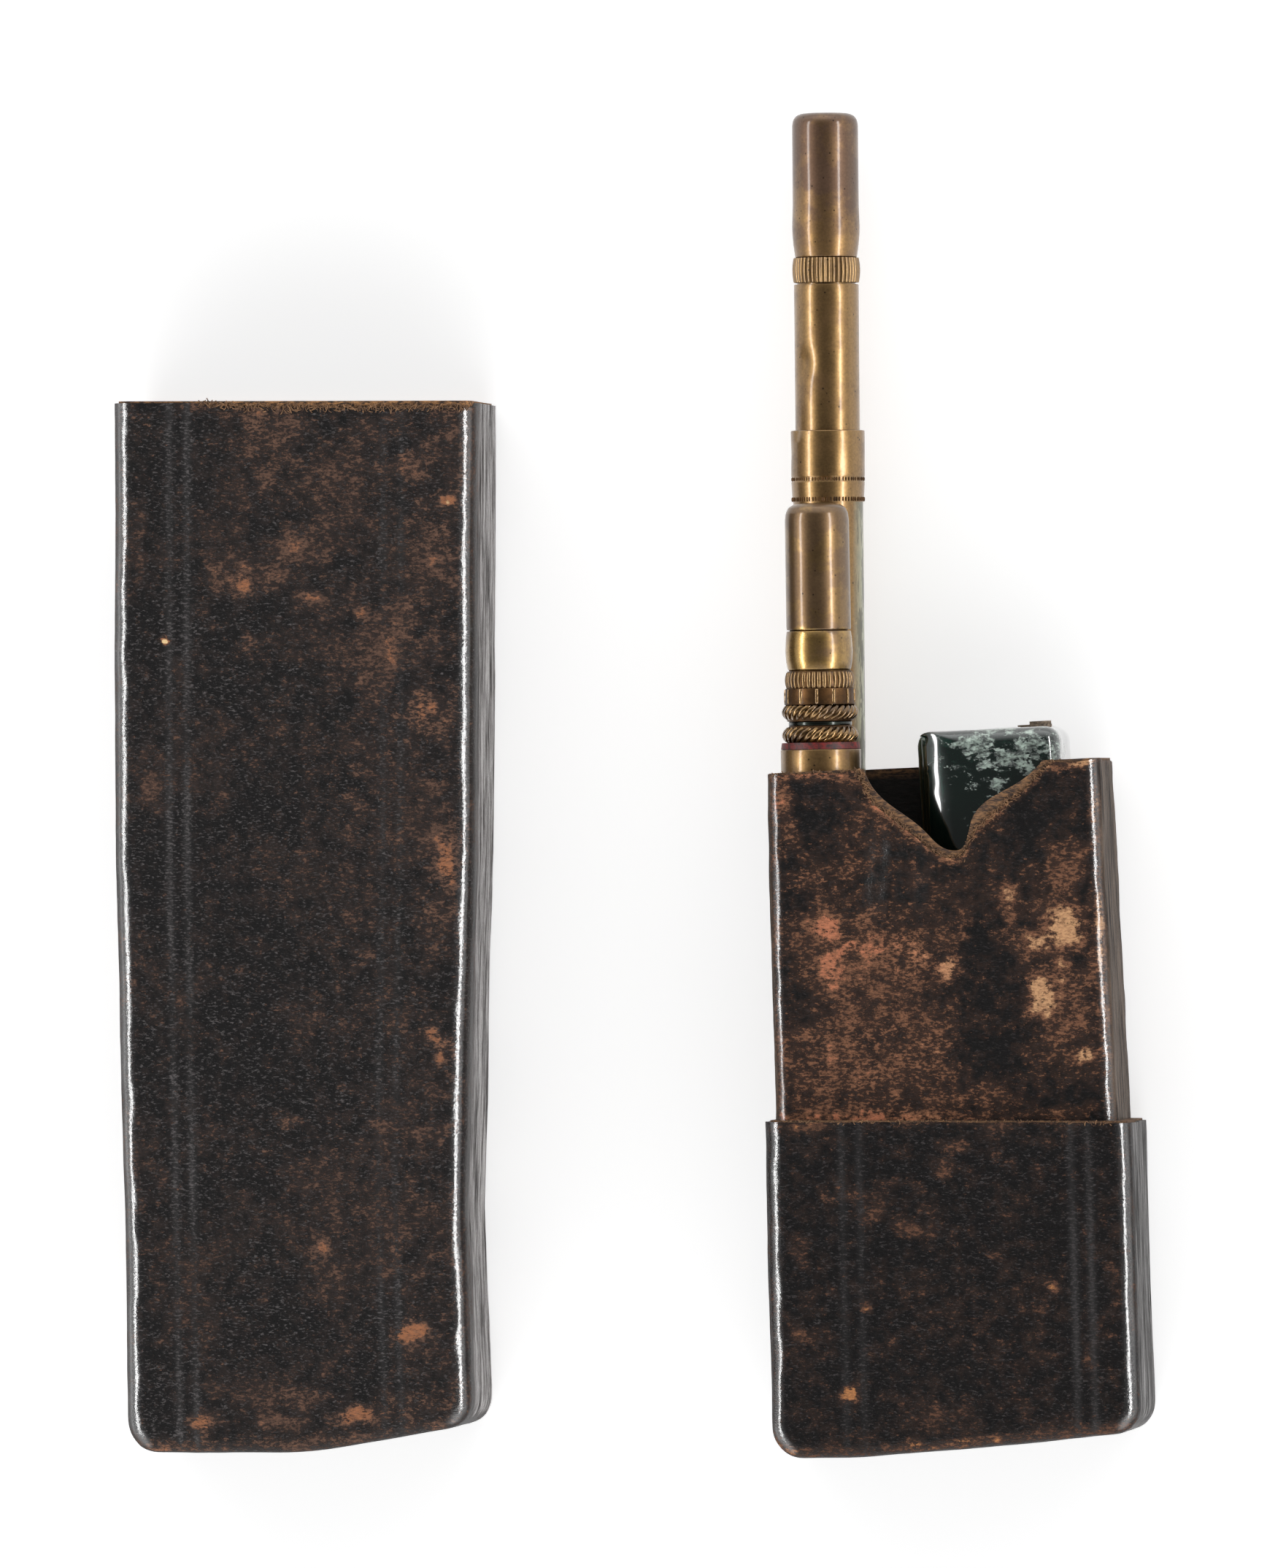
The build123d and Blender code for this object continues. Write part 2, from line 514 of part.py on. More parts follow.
with BuildPart() as ink_bottle:
    with BuildSketch(bottle_level(0)):
        RectangleRounded(BOTTLE_SIDE, BOTTLE_SIDE, BOTTLE_EDGE_R)
    extrude(amount=BOTTLE_TALL)
    ends = ink_bottle.faces().sort_by(Axis(bottle.origin, bottle.y_dir))
    fillet(ends[-1].edges(), BOTTLE_SHOULDER_R)
    fillet(ends[0].edges(), BOTTLE_FOOT_R)
    with BuildSketch(bottle_level(3.0)):
        RectangleRounded(BOTTLE_SIDE - 2 * GLASS, BOTTLE_SIDE - 2 * GLASS, 1.6)
    extrude(amount=BOTTLE_TALL - 5.6, mode=Mode.SUBTRACT)
    with BuildSketch(bottle_level(BOTTLE_TALL - 4)):
        with Locations((MOUTH_X, 0)):
            Circle(MOUTH_D / 2)
    extrude(amount=6, mode=Mode.SUBTRACT)
save(ink_bottle, "ink_bottle")

with BuildPart() as bottle_cork:
    with BuildSketch(bottle_level(BOTTLE_TALL - CORK_LENGTH + 0.3)):
        with Locations((MOUTH_X, 0)):
            Circle(MOUTH_D / 2 - FIT)
    extrude(amount=CORK_LENGTH)
    with BuildSketch(bottle_level(BOTTLE_TALL + 0.3)):
        with Locations((MOUTH_X + 1.0, 0.6)):
            Ellipse(2.0, 1.5)
    extrude(amount=0.6)
save(bottle_cork, "bottle_cork")
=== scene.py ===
# %% [markdown]
# # A worn writing box in leather, brass and glass
#
# The box is a long leather cover and a short base with a sleeve in it. The sleeve holds a brass
# pen, a brass seal and a square ink bottle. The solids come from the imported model. Here they get
# the skins, the dents and the finishes that the eye reads as age: black leather rubbed down to its
# tan core, brass with brown tarnish, and thick green glass with dried ink in it.

from functools import partial
from itertools import product
from math import atan, cos, pi, radians, sin, sqrt

import bpy
import bmesh
import numpy as np
from mathutils import Matrix, Vector
from mathutils.bvhtree import BVHTree


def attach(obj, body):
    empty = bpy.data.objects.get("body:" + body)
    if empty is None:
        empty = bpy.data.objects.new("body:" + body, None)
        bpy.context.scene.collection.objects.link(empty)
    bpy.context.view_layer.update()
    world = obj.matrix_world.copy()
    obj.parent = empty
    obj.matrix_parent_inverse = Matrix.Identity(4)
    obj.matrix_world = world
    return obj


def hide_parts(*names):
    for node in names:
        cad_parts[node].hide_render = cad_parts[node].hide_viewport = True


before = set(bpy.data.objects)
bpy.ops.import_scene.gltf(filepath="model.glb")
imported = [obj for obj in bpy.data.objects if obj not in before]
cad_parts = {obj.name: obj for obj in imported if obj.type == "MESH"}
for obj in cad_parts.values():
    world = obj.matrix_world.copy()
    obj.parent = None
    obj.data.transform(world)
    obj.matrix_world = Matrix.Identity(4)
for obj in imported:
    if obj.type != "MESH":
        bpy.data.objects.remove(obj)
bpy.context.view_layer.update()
MM = 0.001
BASE_MIDDLE = 31.0          # the origin's height above the base's closed end, in millimetres
DEPTH = 37.1                # the case's thickness from back to front
COVER_FOOT, COVER_MOUTH, BASE_RIM = 0.9, 193.4, 61.9    # the heights of the solids' ends

# %% [markdown]
# ## The camera
#
# The photograph looks almost straight down from well above, and a little from the right: the right
# sides of both leather pieces show as narrow strips, and the left ones hardly at all. A long lens
# far away gives that flat, quiet view. The picture is taller than it is wide, so the sensor's long
# side is its height.

# %% Set up the camera
FIELD_WIDTH = 231.4         # what the picture's width spans on the front of the case, in mm
FIELD_HEIGHT = FIELD_WIDTH * 2148 / 1736
LOOK_AT = Vector((-58.2, 92.3, DEPTH)) * MM
CAMERA_AWAY, CAMERA_SHIFT = 3.6, 0.393      # metres from the front, and to the right
SENSOR = 36


def link(name, data):
    """Make an object of a mesh, a camera or a lamp, and put it in the scene."""
    made = bpy.data.objects.new(name, data)
    bpy.context.scene.collection.objects.link(made)
    return made


camera = link("camera", bpy.data.cameras.new("camera"))
camera_up = sqrt(CAMERA_AWAY ** 2 - CAMERA_SHIFT ** 2)
camera.location = LOOK_AT + Vector((CAMERA_SHIFT, 0, camera_up))
camera.rotation_euler = (0, atan(CAMERA_SHIFT / camera_up), 0)
camera.data.sensor_width = SENSOR
camera.data.lens = SENSOR * CAMERA_AWAY / (FIELD_HEIGHT * MM)
camera.data.clip_start, camera.data.clip_end = 0.1, 20
bpy.context.scene.camera = camera
bpy.context.scene.view_settings.view_transform = "Standard"
print("camera tilt in degrees:", round(camera.rotation_euler.y * 180 / pi, 2))

# %% [markdown]
# ## Colours and nodes
#
# Colours are written as the hex values a paint program shows, so one function turns them to the
# linear values that Blender works in. One more small function adds a shader or geometry node, sets
# what it is told and links what it is given. Most sums here are one number times another, plus a
# third, so a Math node does that unless it is told otherwise, and a Mix node mixes colours.

# %% Helpers for colours and nodes
def paint(code):
    """An sRGB hex value such as "8a5634" as a linear colour with full alpha."""
    channels = [int(code[i:i + 2], 16) / 255 for i in (0, 2, 4)]
    linear = [c / 12.92 if c <= 0.04045 else ((c + 0.055) / 1.055) ** 2.4 for c in channels]
    return (*linear, 1.0)


USUAL = {"Math": {"operation": "MULTIPLY_ADD"}, "Mix": {"data_type": "RGBA"}}


def add_node(tree, kind, inputs=None, out=None, **settings):
    """Add a node to a tree, with its settings, and its inputs linked, or set to a value or a hex
    colour. Returns the output asked for, all of them, or else the first that is in use. A shader
    node's kind goes without its first two words."""
    made = tree.nodes.new(kind if "Node" in kind else "ShaderNode" + kind)
    for key, value in {**USUAL.get(kind, {}), **settings}.items():
        setattr(made, key, value)
    for key, value in (inputs or {}).items():
        if isinstance(value, bpy.types.NodeSocket):
            tree.links.new(value, made.inputs[key])
        else:
            made.inputs[key].default_value = paint(value) if isinstance(value, str) else value
    if out is None:
        return next((socket for socket in made.outputs if socket.enabled), None)
    return made.outputs if out == "all" else made.outputs[out]


def new_material(name):
    """An empty material, and the function that adds a node to it."""
    material = bpy.data.materials.new(name)
    material.use_nodes = True
    material.node_tree.nodes.clear()
    return material, partial(add_node, material.node_tree)


print("black leather in linear light:", [round(c, 4) for c in paint("211e1c")])

# %% [markdown]
# ## Floor and light
#
# The ground is plain white card, lit until it is almost without tone. The brass says where the
# lamps are: each round piece shows two bright lines, a quarter of the way in from each side, so two
# long strip boxes stand left and right, about 55 degrees down from overhead. They are shaded from
# the card, where they would throw long double shadows: the card has only the room's soft light,
# which leaves a short pale shadow round each piece. The room is dim straight up, which keeps the
# flat black leather black, and brightest beyond the foot of the case, where no tube reflects it.

# %% Make the floor, the lamps and the sky
card, add = new_material("White card ground, matt paper")
surface = add("BsdfPrincipled", {"Base Color": "f4f4f4", "Roughness": 0.9, "Specular IOR Level": 0.1,
                                 "Emission Color": (1, 1, 1, 1), "Emission Strength": 0.56})
add("OutputMaterial", {0: surface})
floor_mesh = bpy.data.meshes.new("ground_card")
CARD = 3.0                  # from the card's middle to its edges, in metres
floor_mesh.from_pydata([(-CARD, -CARD, 0), (CARD, -CARD, 0), (CARD, CARD, 0), (-CARD, CARD, 0)],
                       [], [(0, 1, 2, 3)])
floor = link("ground_card", floor_mesh)
floor.data.materials.append(card)

shaded = bpy.data.collections.new("shaded from the lamps")
shaded.objects.link(floor)
shaded.collection_objects[0].light_linking.link_state = "EXCLUDE"
LAMP_ANGLE, LAMP_AWAY = 54.0, 1.15          # degrees from overhead, and metres
LAMP_SIZE = (0.14, 1.3)
for name, side, power in (("lamp_left", -1, 8.5), ("lamp_right", 1, 9.5)):
    lamp = link(name, bpy.data.lights.new(name, "AREA"))
    lamp.data.shape = "RECTANGLE"
    lamp.data.size, lamp.data.size_y = LAMP_SIZE
    lamp.data.energy = power
    turn = radians(LAMP_ANGLE) * side
    lamp.location = (LOOK_AT.x + LAMP_AWAY * sin(turn), LOOK_AT.y, LAMP_AWAY * cos(turn))
    lamp.rotation_euler = (0, turn, 0)
    lamp.light_linking.receiver_collection = shaded

sky = bpy.data.worlds.new("studio")
bpy.context.scene.world = sky
sky.use_nodes = True
sky.node_tree.nodes.clear()
add = partial(add_node, sky.node_tree)
direction = add("TexCoord", out="Generated")
parts = add("SeparateXYZ", {0: direction}, out="all")
foot = add("MapRange", {"Value": parts["Y"], "From Min": -0.38, "From Max": -0.9, "To Min": 0.0,
                        "To Max": 2.0})
head = add("MapRange", {"Value": parts["Y"], "From Min": 0.38, "From Max": 0.9, "To Min": 0.0,
                        "To Max": 1.3})
ends = add("Math", {0: foot, 1: head}, operation="ADD")
level = add("MapRange", {"Value": parts["Z"], "From Min": 0.1, "From Max": 0.85, "To Min": 0.8,
                         "To Max": 0.11})
level = add("Math", {0: level, 1: ends}, operation="ADD")
glow = add("Background", {"Color": (1, 1, 1, 1), "Strength": level})
add("OutputWorld", {0: glow})

# %% [markdown]
# ## Hand-made unevenness
#
# Nothing on this box is flat: the board was pasted up by hand and the leather has shrunk and swelled
# for a century. Soft random lumps at several sizes give that. They come from a small table of fixed
# random numbers, blended between neighbours, so that every run gives the same dents.

# %% Random lumps, the same on each run
def lumps(points, size, seed):
    """Soft lumps of about this size at points, all in mm: from -1 to 1."""
    table = np.random.default_rng(seed).uniform(-1, 1, (32, 32, 32))
    place = points / size + seed * 7.31 + 1000
    cell = np.floor(place).astype(int)
    part = place - cell
    part = part * part * (3 - 2 * part)
    total = np.zeros(len(points))
    for corner in product((0, 1), repeat=3):
        share = np.prod([part[:, i] if corner[i] else 1 - part[:, i] for i in range(3)], axis=0)
        i, j, k = [(cell[:, n] + corner[n]) % 32 for n in range(3)]
        total += share * table[i, j, k]
    return total


def uneven(points, *parts):
    """Lumps of several sizes together, from parts of (size, seed, amount)."""
    return sum(lumps(points, size, seed) * amount for size, seed, amount in parts)


def ease(value, low, high):
    """0 below low, 1 above high and a smooth step between them."""
    t = np.clip((value - low) / (high - low), 0, 1)
    return t * t * (3 - 2 * t)


print("lumps at one point:", lumps(np.array([[1.0, 2.0, 3.0]]), 7.0, 1).round(3))

# %% [markdown]
# ## A skin that follows the case
#
# Each leather piece is a rounded box that is open at one end, and its sides lean and bow a little.
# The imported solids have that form. To dent and wear it, the leather needs a fine, even mesh, so the
# skin starts as a net of rows and columns round a plain box, and each knot is then moved to the
# nearest point of the solid. The closed end is one more net, sewn on along the last row.

# %% Read the outline of a solid
def solid_faces(*names):
    """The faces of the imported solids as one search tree, in mm."""
    points, faces = [], []
    for name in names:
        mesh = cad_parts[name].data
        first = len(points)
        points += [v.co / MM for v in mesh.vertices]
        faces += [[first + i for i in face.vertices] for face in mesh.polygons]
    return BVHTree.FromPolygons(points, faces), np.array(points)


def line_through(places, hits):
    """A function that reads between measured places and carries on straight past both ends."""
    def read(value):
        value = np.asarray(value, float)
        inner = np.interp(value, places, hits)
        low = (hits[2] - hits[0]) / (places[2] - places[0])
        high = (hits[-1] - hits[-3]) / (places[-1] - places[-3])
        return (inner + np.minimum(value - places[0], 0) * low + np.maximum(value - places[-1], 0) * high)
    return read


def outline(names, low, high, margin=12.0):
    """The left side, the right side and the end of a case piece, as functions of height or x."""
    faces, points = solid_faces(*names)
    middle = (points.min(0) + points.max(0)) / 2
    clear = 20.0                            # the rays start this far outside
    heights = np.linspace(low + margin, high - 0.6, 70)
    sides = []
    for start, way in ((points[:, 0].min() - clear, 1), (points[:, 0].max() + clear, -1)):
        hits = [faces.ray_cast(Vector((start, h - BASE_MIDDLE, middle[2])), Vector((way, 0, 0)))[0].x
                for h in heights]
        sides.append(line_through(heights, np.array(hits)))
    across = np.linspace(points[:, 0].min() + margin, points[:, 0].max() - margin, 25)
    hits = [faces.ray_cast(Vector((x, points[:, 1].min() - clear, middle[2])), Vector((0, 1, 0)))[0]
            for x in across]
    end = line_through(across, np.array([hit.y + BASE_MIDDLE if hit else low for hit in hits]))
    return faces, sides[0], sides[1], end, points[:, 2].min(), points[:, 2].max()


left, right, end = outline(["cover_leather", "cover_end_leather"], COVER_FOOT, COVER_MOUTH)[1:4]
print("cover width at 100 mm:", round(float(right(100) - left(100)), 2), "end at the middle:",
      round(float(end(-120)), 2))

# %% [markdown]
# The net's columns are closer together where a tooled line runs, because a line pressed with a
# bone folder is only half a millimetre wide. The rows are even.

# %% Lay a net round a case piece
LINE_COLUMNS = (-0.75, -0.45, -0.2, 0.05, 0.3, 0.55)        # in mm from a tooled line


def net(names, low, high, top, step, lines=(), closed=True, bottom=None):
    """Rows of knots round a case piece from its mouth down, and the net over its closed end."""
    faces, left, right, end, back, front = outline(names, low, high)
    if not closed:
        end = bottom
    width = float(right(high / 2) - left(high / 2))
    share = list(np.linspace(0, 1, int(width / step) + 1))
    for line in lines:
        share += [line + move / width for move in LINE_COLUMNS]
    share = np.array(sorted(share))
    deep = np.linspace(0, 1, int((front - back) / step) + 1)
    count_x, count_z = len(share) - 1, len(deep) - 1
    u = np.concatenate([np.zeros(count_z), share[:-1], np.ones(count_z), share[:0:-1]])
    v = np.concatenate([deep[:-1], np.ones(count_x), deep[:0:-1], np.zeros(count_x)])
    rows = np.linspace(0, 1, int((high - low) / step) + 1)[:, None]
    z = back + (front - back) * v[None, :] + 0 * rows
    x = left(high / 2) + u[None, :] * width + 0 * rows
    for _ in range(3):
        h = top(x, z) + rows * (end(x) - top(x, z))
        x = left(h) + u[None, :] * (right(h) - left(h))
    wall = np.stack([x, h, z], -1)
    cap_x = left(low) + share * float(right(low) - left(low))
    cap = np.stack(np.broadcast_arrays(cap_x[:, None], end(cap_x)[:, None],
                                       (back + (front - back) * deep)[None, :]), -1)
    return faces, wall, cap, (count_x, count_z), (left, right)


def settle(points, outward, faces):
    """Move each point, from a little outside, to the nearest point of the solid."""
    flat, push = points.reshape(-1, 3), outward.reshape(-1, 3)
    settled = flat.copy()
    for i, (point, way) in enumerate(zip(flat, push)):
        start = Vector(point + way) - Vector((0, BASE_MIDDLE, 0))
        hit = faces.find_nearest(start)[0]
        settled[i] = hit[0], hit[1] + BASE_MIDDLE, hit[2]
    return settled.reshape(points.shape)


def soften(grid, rounds, ring):
    """Even out small steps in a net. A ring's columns close up; edges that are open stay put."""
    for _ in range(rounds):
        if ring:
            side = (np.roll(grid, 1, 1) + np.roll(grid, -1, 1)) / 2
            grid = grid * 0.5 + side * 0.5
        inner = grid[1:-1] * 0.5 + (grid[:-2] + grid[2:]) * 0.25
        grid = np.concatenate([grid[:1], inner, grid[-1:]])
    return grid


print("extra columns for each tooled line:", len(LINE_COLUMNS))

# %% [markdown]
# The outside gets all the detail. The inside is pasted to the board and never shows, so it has only
# a few rows. Both are joined round the rim, which makes the skin a closed piece of real thickness.
# Four marks are stored at each knot for the finish to read: how far the leather is worn through, how
# much the knot faces sideways, where the leather is dull and streaked, how polished it is, and
# whether it lies in a tooled line, with how much painted sheen that line gets.

# %% Sew a net into a closed skin
def mesh_from(name, points, faces, marks=None, sharp=40.0):
    """A smooth mesh from points in mm as (x, height, z), with its marks, in metres in the row."""
    mesh = bpy.data.meshes.new(name)
    placed = (np.asarray(points, float) - (0, BASE_MIDDLE, 0)) * MM
    mesh.from_pydata(placed.tolist(), [], faces)
    for key, values in (marks or {}).items():
        mesh.attributes.new(key, "FLOAT", "POINT").data.foreach_set("value", np.asarray(values, float))
    mesh.shade_smooth()
    mesh.set_sharp_from_angle(angle=radians(sharp))
    mesh.validate()
    return mesh


def normals_of(points, faces):
    """The direction that each point of a mesh faces."""
    mesh = bpy.data.meshes.new("scratch")
    mesh.from_pydata(np.asarray(points).tolist(), [], faces)
    found = np.zeros(len(points) * 3)
    mesh.vertex_normals.foreach_get("vector", found)
    bpy.data.meshes.remove(mesh)
    return found.reshape(-1, 3)


AT_EDGE = 0.497             # of the whole width: more than this from the middle is on the edge
INSIDE_STEP = 8             # the inside has every eighth row


def skin(name, laid, thick, relief, closed=True):
    """Turn a laid net into a skin. relief(points, normals) gives the height over the solid in mm
    and the marks."""
    faces, wall, cap, (count_x, count_z), _ = laid
    rows, columns = wall.shape[:2]
    # Which way is out: sideways in the outermost columns, to the front or back on both faces
    across, depth, middle = wall[..., 0], wall[..., 2], wall.mean((0, 1))
    on_side = np.abs(across - across.mean(1)[:, None]) > AT_EDGE * np.ptp(across, axis=1)[:, None]
    on_face = np.abs(depth - middle[2]) > AT_EDGE * np.ptp(depth)
    away = np.stack([np.sign(across - middle[0]) * on_side, np.zeros(across.shape),
                     np.sign(depth - middle[2]) * on_face], -1)
    if closed:
        away[-1, :, 1] = -1
    wall = soften(settle(wall, away, faces), 2, True)
    points = [wall.reshape(-1, 3)]
    quads = [(a + i, a + columns + i, a + columns + (i + 1) % columns, a + (i + 1) % columns)
             for a in range(0, (rows - 1) * columns, columns) for i in range(columns)]
    last = (rows - 1) * columns
    index = np.zeros((count_x + 1, count_z + 1), int)
    if closed:
        cap = settle(cap, np.broadcast_to((0.0, -1.0, 0.0), cap.shape), faces)
        for j in range(count_z + 1):
            index[0, j] = last + j
            index[count_x, j] = last + count_z + count_x + (count_z - j)
        for i in range(count_x + 1):
            index[i, count_z] = last + count_z + i
            index[i, 0] = last + (2 * count_z + count_x + (count_x - i)) % columns
        inside = np.arange((count_x - 1) * (count_z - 1)).reshape(count_x - 1, count_z - 1)
        index[1:-1, 1:-1] = inside + rows * columns
        points.append(cap[1:-1, 1:-1].reshape(-1, 3))
        quads += [(index[i, j], index[i + 1, j], index[i + 1, j + 1], index[i, j + 1])
                  for i in range(count_x) for j in range(count_z)]
    base = np.concatenate(points)
    normal = normals_of(base, quads)
    height, marks = relief(base, normal)
    outer = base + normal * height[:, None]
    # The inside: some of the rows, and the end
    kept = sorted({*range(0, rows, INSIDE_STEP), rows - 1})
    first = len(outer)
    place = {}
    inner = []
    for row in kept:
        for i in range(columns):
            place[row * columns + i] = first + len(inner)
            inner.append(base[row * columns + i] - normal[row * columns + i] * thick)
    for a, b in zip(kept[:-1], kept[1:]):
        quads += [(place[a * columns + i], place[a * columns + (i + 1) % columns],
                   place[b * columns + (i + 1) % columns], place[b * columns + i]) for i in range(columns)]
    if closed:
        for i in index[1:-1, 1:-1].ravel():
            place[i] = first + len(inner)
            inner.append(base[i] - normal[i] * thick)
        quads += [(place[index[i, j]], place[index[i, j + 1]], place[index[i + 1, j + 1]],
                   place[index[i + 1, j]]) for i in range(count_x) for j in range(count_z)]
    quads += [(i, (i + 1) % columns, place[(i + 1) % columns], place[i]) for i in range(columns)]
    if not closed:
        quads += [(last + (i + 1) % columns, last + i, place[last + i],
                   place[last + (i + 1) % columns]) for i in range(columns)]
    marks = {key: np.concatenate([value, np.zeros(len(inner))]) for key, value in marks.items()}
    mesh = mesh_from(name, np.concatenate([outer, np.array(inner)]), quads, marks)
    print(name, "has", len(mesh.polygons), "faces")
    return link(name, mesh)


# %% [markdown]
# ## Black leather, dyed and rubbed
#
# The cover and the base are goatskin over pasteboard, dyed black and burnished. A century of hands
# has polished the edges to a gloss and rubbed the faces down to the brown beneath, in flecks that
# follow the grain and in ragged patches. So the colour is black with fine brown fibres on it, and
# the fibres crowd together where the skin's own mark says that it is worn. Bare fibres are matt,
# sound leather has the soft shine of old polish, and its burnished edges shine like glass.

# %% The leather finish
def leather(name, black, painted_glint, browns, spots, rubbed, gloss, sides, sheen):
    """Old dyed leather: hex colours for the black and for the painted highlights on its grain, with a
    dark and a light one for its rubbed fibres and for its streaked sides and one at the left and at
    the right for its deepest rubs, how thickly the fibres show, its roughness where it is sound, and
    how much the folds on its sides shine."""
    material, add = new_material(name)
    here = add("TexCoord", out="Object")
    mark, side, polish, tooled = [add("Attribute", attribute_name=key, out="Fac")
                                  for key in ("worn", "side", "polish", "tooled")]
    # 16 mm clouds, 2.6 mm creases, and the grain: slanting hairs 0.4 mm by 0.2 mm, twice life size
    clouds = add("TexNoise", {"Vector": here, "Scale": 1 / (16 * MM), "Detail": 6.0, "Roughness": 0.66})
    creases = add("TexNoise", {"Vector": here, "Scale": 1 / (2.6 * MM), "Detail": 5.0, "Roughness": 0.65})
    slanted = add("Mapping", {"Vector": here, "Rotation": (0, 0, radians(35)), "Scale": (1.0, 2.2, 1.0)})
    grain = add("TexNoise", {"Vector": slanted, "Scale": 1 / (0.8 * MM), "Detail": 3.0, "Roughness": 0.7})
    # Rubbed fibres lie across the piece: strokes about 0.5 mm by 0.25 mm
    lying = add("Mapping", {"Vector": here, "Scale": (1.0, 1.9, 1.5)})
    fibres = add("TexNoise", {"Vector": lying, "Scale": 1 / (1.0 * MM), "Detail": 5.0, "Roughness": 0.75})
    # Where they show: in clouds, in clumps of a few millimetres, and where the skin is marked worn
    crowd = add("MapRange", {"Value": clouds, "From Min": 0.42, "From Max": 0.72, "To Max": rubbed})
    crowd = add("Math", {0: crowd, 1: mark}, operation="ADD")
    clumps = add("Math", {0: creases, 1: 0.5}, operation="SUBTRACT")
    clumped = add("Math", {0: clumps, 1: 2.3, 2: crowd})
    clumped = add("Math", {0: tooled, 1: -0.45, 2: clumped})
    shown = add("Math", {0: clumped, 1: 0.25, 2: fibres})
    brown = add("MapRange", {"Value": shown, "From Min": 0.64, "From Max": 0.70},
                interpolation_type="SMOOTHSTEP")
    # Colours: black with painted grey highlights on the grain and along the tooled lines, brown where
    # the fibres show, orange where the rub is deepest
    painted_glints = add("Math", {0: tooled, 1: 0.11, 2: grain})
    painted_glints = add("MapRange", {"Value": painted_glints, "From Min": 0.55, "From Max": 0.71})
    dye = add("Mix", {0: painted_glints, 6: black, 7: painted_glint})
    thin = add("MapRange", {"Value": clumped, "From Min": 0.0, "From Max": 0.75, "To Max": 0.8})
    dye = add("Mix", {0: thin, 6: dye, 7: browns[0]})
    # A painted sheen: the tooled lines are lightened towards a soft grey
    painted_line_sheen = add("Math", {0: tooled, 1: 0.45}, operation="MULTIPLY")
    dye = add("Mix", {0: painted_line_sheen, 6: dye, 7: "3f3d3d"})
    tone = add("Math", {0: fibres, 1: 2.2, 2: creases})
    tone = add("Math", {0: mark, 1: 0.35, 2: tone})
    tone = add("MapRange", {"Value": tone, "From Min": 1.62, "From Max": 2.35})
    bare = add("Mix", {0: tone, 6: browns[0], 7: browns[1]})
    deep = add("Math", {0: clumps, 1: 1.7, 2: mark})
    deep = add("Math", {0: fibres, 1: 0.9, 2: deep})
    deep = add("MapRange", {"Value": deep, "From Min": 1.26, "From Max": 1.48, "To Max": 0.9})
    mottled = add("MapRange", {"Value": grain, "From Min": 0.36, "From Max": 0.58, "To Min": 0.3})
    deep = add("Math", {0: deep, 1: mottled}, operation="MULTIPLY")
    across = add("SeparateXYZ", {0: here}, out="X")
    to_right = add("MapRange", {"Value": across, "From Min": -12 * MM, "From Max": 6 * MM})
    spot = add("Mix", {0: to_right, 6: spots[0], 7: spots[1]})
    bare = add("Mix", {0: deep, 6: bare, 7: spot})
    hole = add("MapRange", {"Value": mark, "From Min": 1.25, "From Max": 1.5})
    bare = add("Mix", {0: hole, 6: bare, 7: "cdb083"})
    face = add("Mix", {0: brown, 6: dye, 7: bare})
    # The sides: dark and dusty, in fine folds along the piece, 2.2 mm apart from back to front
    along = add("Mapping", {"Vector": here, "Rotation": (radians(2), 0, 0), "Scale": (1.0, 0.13, 1.0)})
    streaks = add("TexNoise", {"Vector": along, "Scale": 1 / (2.2 * MM), "Detail": 7.0, "Roughness": 0.72})
    streaks = add("MapRange", {"Value": streaks, "From Min": 0.38, "From Max": 0.62})
    dusty = add("Mix", {0: streaks, 6: sides[0], 7: sides[1]})
    colour = add("Mix", {0: side, 6: face, 7: dusty})
    # Roughness: burnished edges and lines, sound faces, matt fibres and sides
    rough = add("MapRange", {"Value": polish, "To Min": gloss, "To Max": 0.2})
    dull = add("Math", {0: brown, 1: 0.7}, operation="MULTIPLY")
    dull = add("Math", {0: dull, 1: side}, operation="MAXIMUM")
    rough = add("Math", {0: dull, 1: 0.45, 2: rough}, use_clamp=True)
    # Relief: creases and grain; worn fibres lie lower, and folds stand up on the sides
    relief = add("Math", {0: grain, 1: 0.7, 2: creases})
    crackle = add("Bump", {"Height": relief, "Strength": 1.0, "Distance": 0.11 * MM})
    relief = add("Math", {0: brown, 1: -0.35, 2: relief})
    sideways = add("Math", {0: streaks, 1: side}, operation="MULTIPLY")
    relief = add("Math", {0: sideways, 1: 0.8, 2: relief})
    glaze = add("Math", {0: sideways, 1: sheen, 2: polish}, use_clamp=True)
    bump = add("Bump", {"Height": relief, "Strength": 0.85, "Distance": 0.4 * MM})
    surface = add("BsdfPrincipled", {"Base Color": colour, "Roughness": rough, "Normal": bump,
                                     "Specular IOR Level": 0.14, "Coat Weight": glaze,
                                     "Coat Roughness": 0.13, "Coat IOR": 2.3, "Coat Normal": crackle})
    add("OutputMaterial", {0: surface})
    return material


# The second colour of each leather is the grey of the painted highlights on its grain
cover_hide = leather("Goatskin, dyed black, dry and rubbed", "0b0a0a", "545050", ("2c2320", "6d5142"),
                     ("8e5d40", "8e5d40"), 0.7, 0.46, ("1a1513", "5e5350"), 0.82)
base_hide = leather("Goatskin, dyed black, handled to a gloss", "050404", "3b3737", ("2c1f19", "684735"),
                    ("a06c42", "a06c42"), 0.45, 0.38, ("151211", "484443"), 0.40)
sleeve_hide = leather("Thin black sheepskin, rubbed to its tan core", "060505", "2c2828",
                      ("35241c", "835a42"), ("a8694d", "b58c66"), 0.45, 0.40, ("1a1310", "54412f"), 0.22)
print("leather finishes:", cover_hide.name, "|", base_hide.name, "|", sleeve_hide.name)
